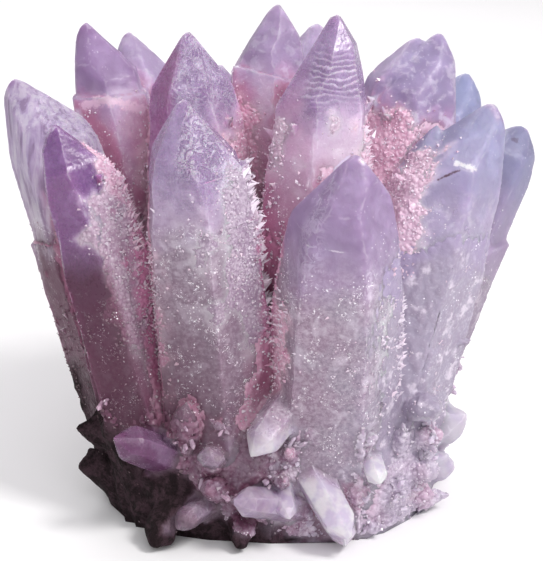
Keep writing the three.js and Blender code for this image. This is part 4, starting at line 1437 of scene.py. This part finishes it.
def crust_finish(sheet, settings):
    """A soft crust, darker between its lumps: partly its own deeper tone, partly painted shade in the
    hollows.
    """
    g = Graph(sheet.name)
    pink = g.attribute("pink")
    cloud = g.noise(3.2 * MM, 3, 0.6)
    fine = g.noise(0.4 * MM, 2)
    pale = g.mix(pink, srgb(*sheet.pale), settings.pink)
    deep = g.mix(pink, g.tint(srgb(*sheet.deep), MILKY_GAP, "milk", 0.8), settings.rose)
    # darker low between the lumps: partly tone, partly painted shade
    skin = g.mix(g.ramp(g.attribute("rise"), 0.05, 0.6, 0.2, 1), deep, pale)
    skin = g.mix(g.ramp(cloud, 0.42, 0.58, 0, sheet.patches), skin, deep)
    skin = g.mix(g.ramp(g.attribute("own"), 0.6, 1, 0, 0.4), skin, pale)
    skin = g.mix(g.ramp(fine, 0.5, 0.7, 0, sheet.fine), skin, settings.white)
    if sheet.snow:
        flecks = g.ramp(g.noise(2.6 * MM, 4, 0.62), 0.53, 0.67, 0, sheet.snow)
        skin = g.mix(flecks, skin, settings.white)
    if sheet.name == "side_crust":
        skin = g.tint(skin, FADED_SIDE, "ending", g.ramp(g.height(), 32 * MM, 38 * MM, 0, 0.8))
    # painted shade on the crust
    skin = g.tint(skin, settings.dark, "shade", 0.88)
    skin = g.gap_colour_and_shade(skin, settings)
    # painted glints on the crust
    skin = g.mix(g.painted_glints(), skin, settings.painted_glint)
    g.set(Base_Color=skin, Roughness=g.ramp(fine, 0.35, 0.65, 0.6, 0.3), IOR=QUARTZ_IOR)
    g.set(Subsurface_Weight=0.5, Subsurface_Radius=(1, 0.9, 0.95), Subsurface_Scale=0.5 * MM)
    g.set(Specular_IOR_Level=g.ramp(g.attribute("shade"), 0, 1, 0.5, 0.2))
    g.set(Normal=g.bump(g.noise(0.3 * MM, 3, 0.7), 0.08 * MM, 0.5))
    return g.material


class CLUSTER_OT_crusts(bpy.types.Operator):
    """Lay the soft crusts in the valleys, on the flanks, on the right side and on the foot"""

    bl_idname = "cluster.crusts"
    bl_label = "Crusts"

    def execute(self, context):
        for sheet in SHEETS:
            lay_crust(context, sheet)
        return {"FINISHED"}


class CLUSTER_OT_glints(bpy.types.Operator):
    """Scatter tiny bright grains over the crusts"""

    bl_idname = "cluster.glints"
    bl_label = "Glints"

    def execute(self, context):
        settings, random, on = sowing(context, 0)
        valley = smooth(0.35, 0.8, on.valley) * smooth(0.9, 0.6, on.share) * (1 - on.foot)
        foot = 0.35 * on.foot * (1 - on.matrix) * smooth(0.3, 0, on.clear)
        cover = np.maximum(np.minimum(on.crust, 1), 0.6 * valley)
        cover = np.maximum(cover, foot) * smooth(0.5 * MM, 2 * MM, on.middle[:, 2])
        picked, places = on.sow(cover * 0.5, settings.grain * 1.3, random)
        count = len(picked)
        places += on.normals[picked] * random.uniform(0, 0.25, count)[:, None] * MM
        widths = sizes_about(0.85 * settings.grain, 0.3, count, random)
        lengths = widths * random.uniform(0.4, 1, count)
        towards = on.lean(picked, 0.4, 0.5, random)
        tints = tints_about(0.5 * on.pink[picked], 0.2, random)
        grains = Grains(picked, places, widths, lengths, towards, tints)
        finish = druse_finish(settings)
        plant(context, "glints", spike_shape(4), grains, on, random, finish, 0.2)
        return {"FINISHED"}


class CLUSTER_OT_teeth(bpy.types.Operator):
    """Set the combs of sharp white teeth along the edges of the front points"""

    bl_idname = "cluster.teeth"
    bl_label = "Teeth"

    def execute(self, context):
        settings, random, on = sowing(context, 6)
        cover, sizes, pink = np.zeros((3, len(on.area)))
        for comb in COMBS:
            here = turned(on.azimuth, comb.azimuth) < comb.spread
            here &= (on.share > comb.low) & (on.share < comb.high)
            here &= (on.owner == NAMES.index(comb.on)) & (on.foot < 0.5)
            cover = np.where(here, comb.cover, cover)
            sizes = np.where(here, comb.length * MM, sizes)
            pink = np.where(here, comb.pink, pink)
        picked, places = on.sow(cover, 0.9 * MM, random)
        count = len(picked)
        lengths = sizes[picked] * random.uniform(0.6, 1.25, count)
        widths = lengths * random.uniform(0.5, 0.75, count)
        towards = on.lean(picked, 0.6, 0.2, random)
        tints = tints_about(pink[picked], 0.15, random)
        grains = Grains(picked, places, widths, lengths, towards, tints)
        plant(context, "teeth", spike_shape(5), grains, on, random, druse_finish(settings))
        return {"FINISHED"}


class CLUSTER_OT_body_druse(bpy.types.Operator):
    """Scatter single grains and small patches over the frosted bodies"""

    bl_idname = "cluster.body_druse"
    bl_label = "Body druse"

    def execute(self, context):
        settings, random, on = sowing(context, 2)
        patchy = waves(on.middle, 3.4 * MM, 21) + 0.7 * waves(on.middle, 1.3 * MM, 22)
        low = smooth(0.9, 0.35, on.share)
        cover = 0.015 + 0.985 * smooth(0.55, 1, patchy + 0.4 * low - 0.1)
        cover = cover * smooth(0.8, 0.1, on.tip)
        edges = 0.7 * on.edge * smooth(0, 0.5, patchy + 0.2) * smooth(0.9, 0.4, on.tip)
        cover = np.maximum(cover, edges)
        cover *= (1 - on.foot) * (1 - 0.6 * on.shade)
        cover *= 1 - 0.6 * smooth(42 * MM, 50 * MM, on.middle[:, 2])
        picked, places = on.sow(cover * 0.35, settings.grain * 0.8, random)
        count = len(picked)
        widths = sizes_about(0.6 * settings.grain, 0.35, count, random)
        lengths = widths * random.uniform(0.4, 1.4, count)
        towards = on.lean(picked, 0.6, 0.7, random)
        tints = tints_about(0.12 + 0.5 * on.valley[picked], 0.15, random)
        grains = Grains(picked, places, widths, lengths, towards, tints)
        finish = druse_finish(settings)
        plant(context, "body_druse", spike_shape(4), grains, on, random, finish, 0.4)
        return {"FINISHED"}


SPRAY = 4  # points that spread from one root


class CLUSTER_OT_foot_points(bpy.types.Operator):
    """Set the distinct small points that stand out of the foot's crust"""

    bl_idname = "cluster.foot_points"
    bl_label = "Foot points"

    def execute(self, context):
        settings, random, on = sowing(context, 4)
        cover = on.foot * (1 - on.matrix) * smooth(0.3, 0, on.clear) * (on.middle[:, 2] > 2 * MM)
        picked, places = on.sow(cover, 4.2 * MM, random)
        picked = np.repeat(picked, SPRAY)
        count = len(picked)
        places = np.repeat(places, SPRAY, 0) + 0.4 * MM * random.standard_normal((count, 3))
        widths = sizes_about(0.48 * MM, 0.35, count, random)
        lengths = widths * random.uniform(1.2, 2.6, count)
        towards = on.lean(picked, 0, 0.5, random)
        tints = tints_about(np.zeros(count), 0.1, random)
        grains = Grains(picked, places, widths, lengths, towards, tints)
        plant(context, "foot_points", point_shape(), grains, on, random, clear_finish(settings))
        return {"FINISHED"}


CLEAR_GREY = srgb(200, 188, 206)
CLEAR_SHADE = srgb(150, 108, 130)
CLEAR_INSIDE = srgb(226, 212, 232)
CLEAR_DENSITY = 30


def clear_finish(settings):
    """The glassy small points of the foot."""
    g = Graph("clear_points")
    glint = g.attribute("glint")
    skin = g.tint(CLEAR_GREY, settings.pink, "tint")
    skin = g.tint(skin, CLEAR_SHADE, "shade", 0.7)
    g.set(Base_Color=skin, Roughness=g.ramp(glint, 0, 1, 0.2, 0.08), IOR=QUARTZ_IOR)
    g.set(Transmission_Weight=g.ramp(glint, 0.5, 1, 0, 0.3))
    g.set(Subsurface_Weight=0.5, Subsurface_Radius=(1, 0.8, 0.9), Subsurface_Scale=1.5 * MM)
    g.absorb(CLEAR_INSIDE, CLEAR_DENSITY)
    return g.material


LOOK_AT = np.array([0, 0, 32.5]) - BOX_MIDDLE


class Lamp(NamedTuple):
    """A square soft lamp that looks at the cluster, in metres and watts."""

    name: str
    place: tuple
    size: float
    power: float
    tint: tuple


LAMPS = [
    Lamp("key", (0.25, -0.21, 0.4), 0.13, 1.55, (1, 0.99, 0.98)),
    Lamp("front", (0.07, -0.51, 0.42), 0.38, 1.12, (0.97, 0.97, 1)),
    Lamp("rim", (-0.1, 0.4, 0.4), 0.3, 1.2, (1, 0.98, 1)),
]
ROOM_LIGHT = 0.56
# The floor, in metres: half its width, how far back it goes, the height of its backdrop, the
# radius of the bend between them, and how far under the cluster it lies
FLOOR_HALF = 3
FLOOR_BACK = 1.2
FLOOR_RISE = 2.5
FLOOR_BEND = 0.6
FLOOR_GAP = 0.02 * MM


def aim(thing, target):
    """Turns a camera or a lamp towards a place."""
    thing.rotation_euler = (Vector(target) - thing.location).to_track_quat("-Z", "Y").to_euler()


def add_lamp(context, lamp):
    """Hangs one lamp."""
    data = bpy.data.lights.new(lamp.name, "AREA")
    data.size = lamp.size
    data.energy = lamp.power
    data.color = lamp.tint
    thing = bpy.data.objects.new(lamp.name, data)
    thing.location = lamp.place
    context.scene.collection.objects.link(thing)
    aim(thing, LOOK_AT * MM)


def add_floor(context, settings):
    """A wide pale floor that rises into a backdrop."""
    profile = [(-FLOOR_HALF, 0)]
    for turn in np.linspace(0, math.pi / 2, 12):
        profile.append((FLOOR_BACK + FLOOR_BEND * math.sin(turn), FLOOR_BEND * (1 - math.cos(turn))))
    profile.append((FLOOR_BACK + FLOOR_BEND, FLOOR_RISE))
    vertices = [(x, y, z - FLOOR_GAP) for y, z in profile for x in (-FLOOR_HALF, FLOOR_HALF)]
    faces = [(2 * k, 2 * k + 1, 2 * k + 3, 2 * k + 2) for k in range(len(profile) - 1)]
    mesh = bpy.data.meshes.new("floor")
    mesh.from_pydata(vertices, [], faces)
    mesh.polygons.foreach_set("use_smooth", np.ones(len(faces), bool))
    floor = bpy.data.objects.new("floor", mesh)
    context.scene.collection.objects.link(floor)
    g = Graph("pale_floor")
    g.set(Base_Color=settings.floor, Roughness=0.9)
    mesh.materials.append(g.material)


class CLUSTER_OT_stage(bpy.types.Operator):
    """Set the floor, the soft studio light and the camera"""

    bl_idname = "cluster.stage"
    bl_label = "Stage"

    def execute(self, context):
        settings = context.scene.cluster_stage
        add_floor(context, settings)
        for lamp in LAMPS:
            add_lamp(context, lamp)
        world = bpy.data.worlds.new("studio")
        world.use_nodes = True
        background = world.node_tree.nodes["Background"]
        background.inputs["Color"].default_value = (1, 1, 1, 1)
        background.inputs["Strength"].default_value = ROOM_LIGHT
        context.scene.world = world
        data = bpy.data.cameras.new("camera")
        data.lens = settings.lens
        data.clip_start = 0.01
        camera = bpy.data.objects.new("camera", data)
        target = Vector(LOOK_AT * MM)
        back = Vector((0, -math.cos(settings.elevation), math.sin(settings.elevation)))
        camera.location = target + back * settings.distance
        context.scene.collection.objects.link(camera)
        aim(camera, target)
        context.scene.camera = camera
        context.scene.view_settings.view_transform = "Standard"
        return {"FINISHED"}


class CLUSTER_PT_panel(bpy.types.Panel):
    """Lists the cluster's pieces and their settings"""

    bl_label = "Amethyst Cluster"
    bl_space_type = "VIEW_3D"
    bl_region_type = "UI"
    bl_category = "Amethyst"

    def draw(self, context):
        layout = self.layout
        for name in GROUPS:
            group = getattr(context.scene, name)
            box = layout.box()
            for prop in group.bl_rna.properties:
                if prop.identifier not in ("rna_type", "name"):
                    box.prop(group, prop.identifier)
        for operator in OPERATORS:
            layout.operator(operator.bl_idname)


GROUPS = {
    "cluster_crystals": CrystalSettings,
    "cluster_druse": DruseSettings,
    "cluster_stage": StageSettings,
}
OPERATORS = (
    CLUSTER_OT_crystals,
    CLUSTER_OT_crusts,
    CLUSTER_OT_glints,
    CLUSTER_OT_teeth,
    CLUSTER_OT_body_druse,
    CLUSTER_OT_foot_points,
    CLUSTER_OT_stage,
)


def register():
    for cls in (*GROUPS.values(), *OPERATORS, CLUSTER_PT_panel):
        bpy.utils.register_class(cls)
    for name, cls in GROUPS.items():
        setattr(bpy.types.Scene, name, PointerProperty(type=cls))


def unregister():
    for name in GROUPS:
        delattr(bpy.types.Scene, name)
    for cls in (CLUSTER_PT_panel, *reversed(OPERATORS), *reversed(GROUPS.values())):
        bpy.utils.unregister_class(cls)


def main():
    """Registers the add-on and makes every piece in order."""
    register()
    bpy.ops.cluster.crystals()
    bpy.ops.cluster.crusts()
    bpy.ops.cluster.glints()
    bpy.ops.cluster.teeth()
    bpy.ops.cluster.body_druse()
    bpy.ops.cluster.foot_points()
    bpy.ops.cluster.stage()


if __name__ == "__main__":
    main()
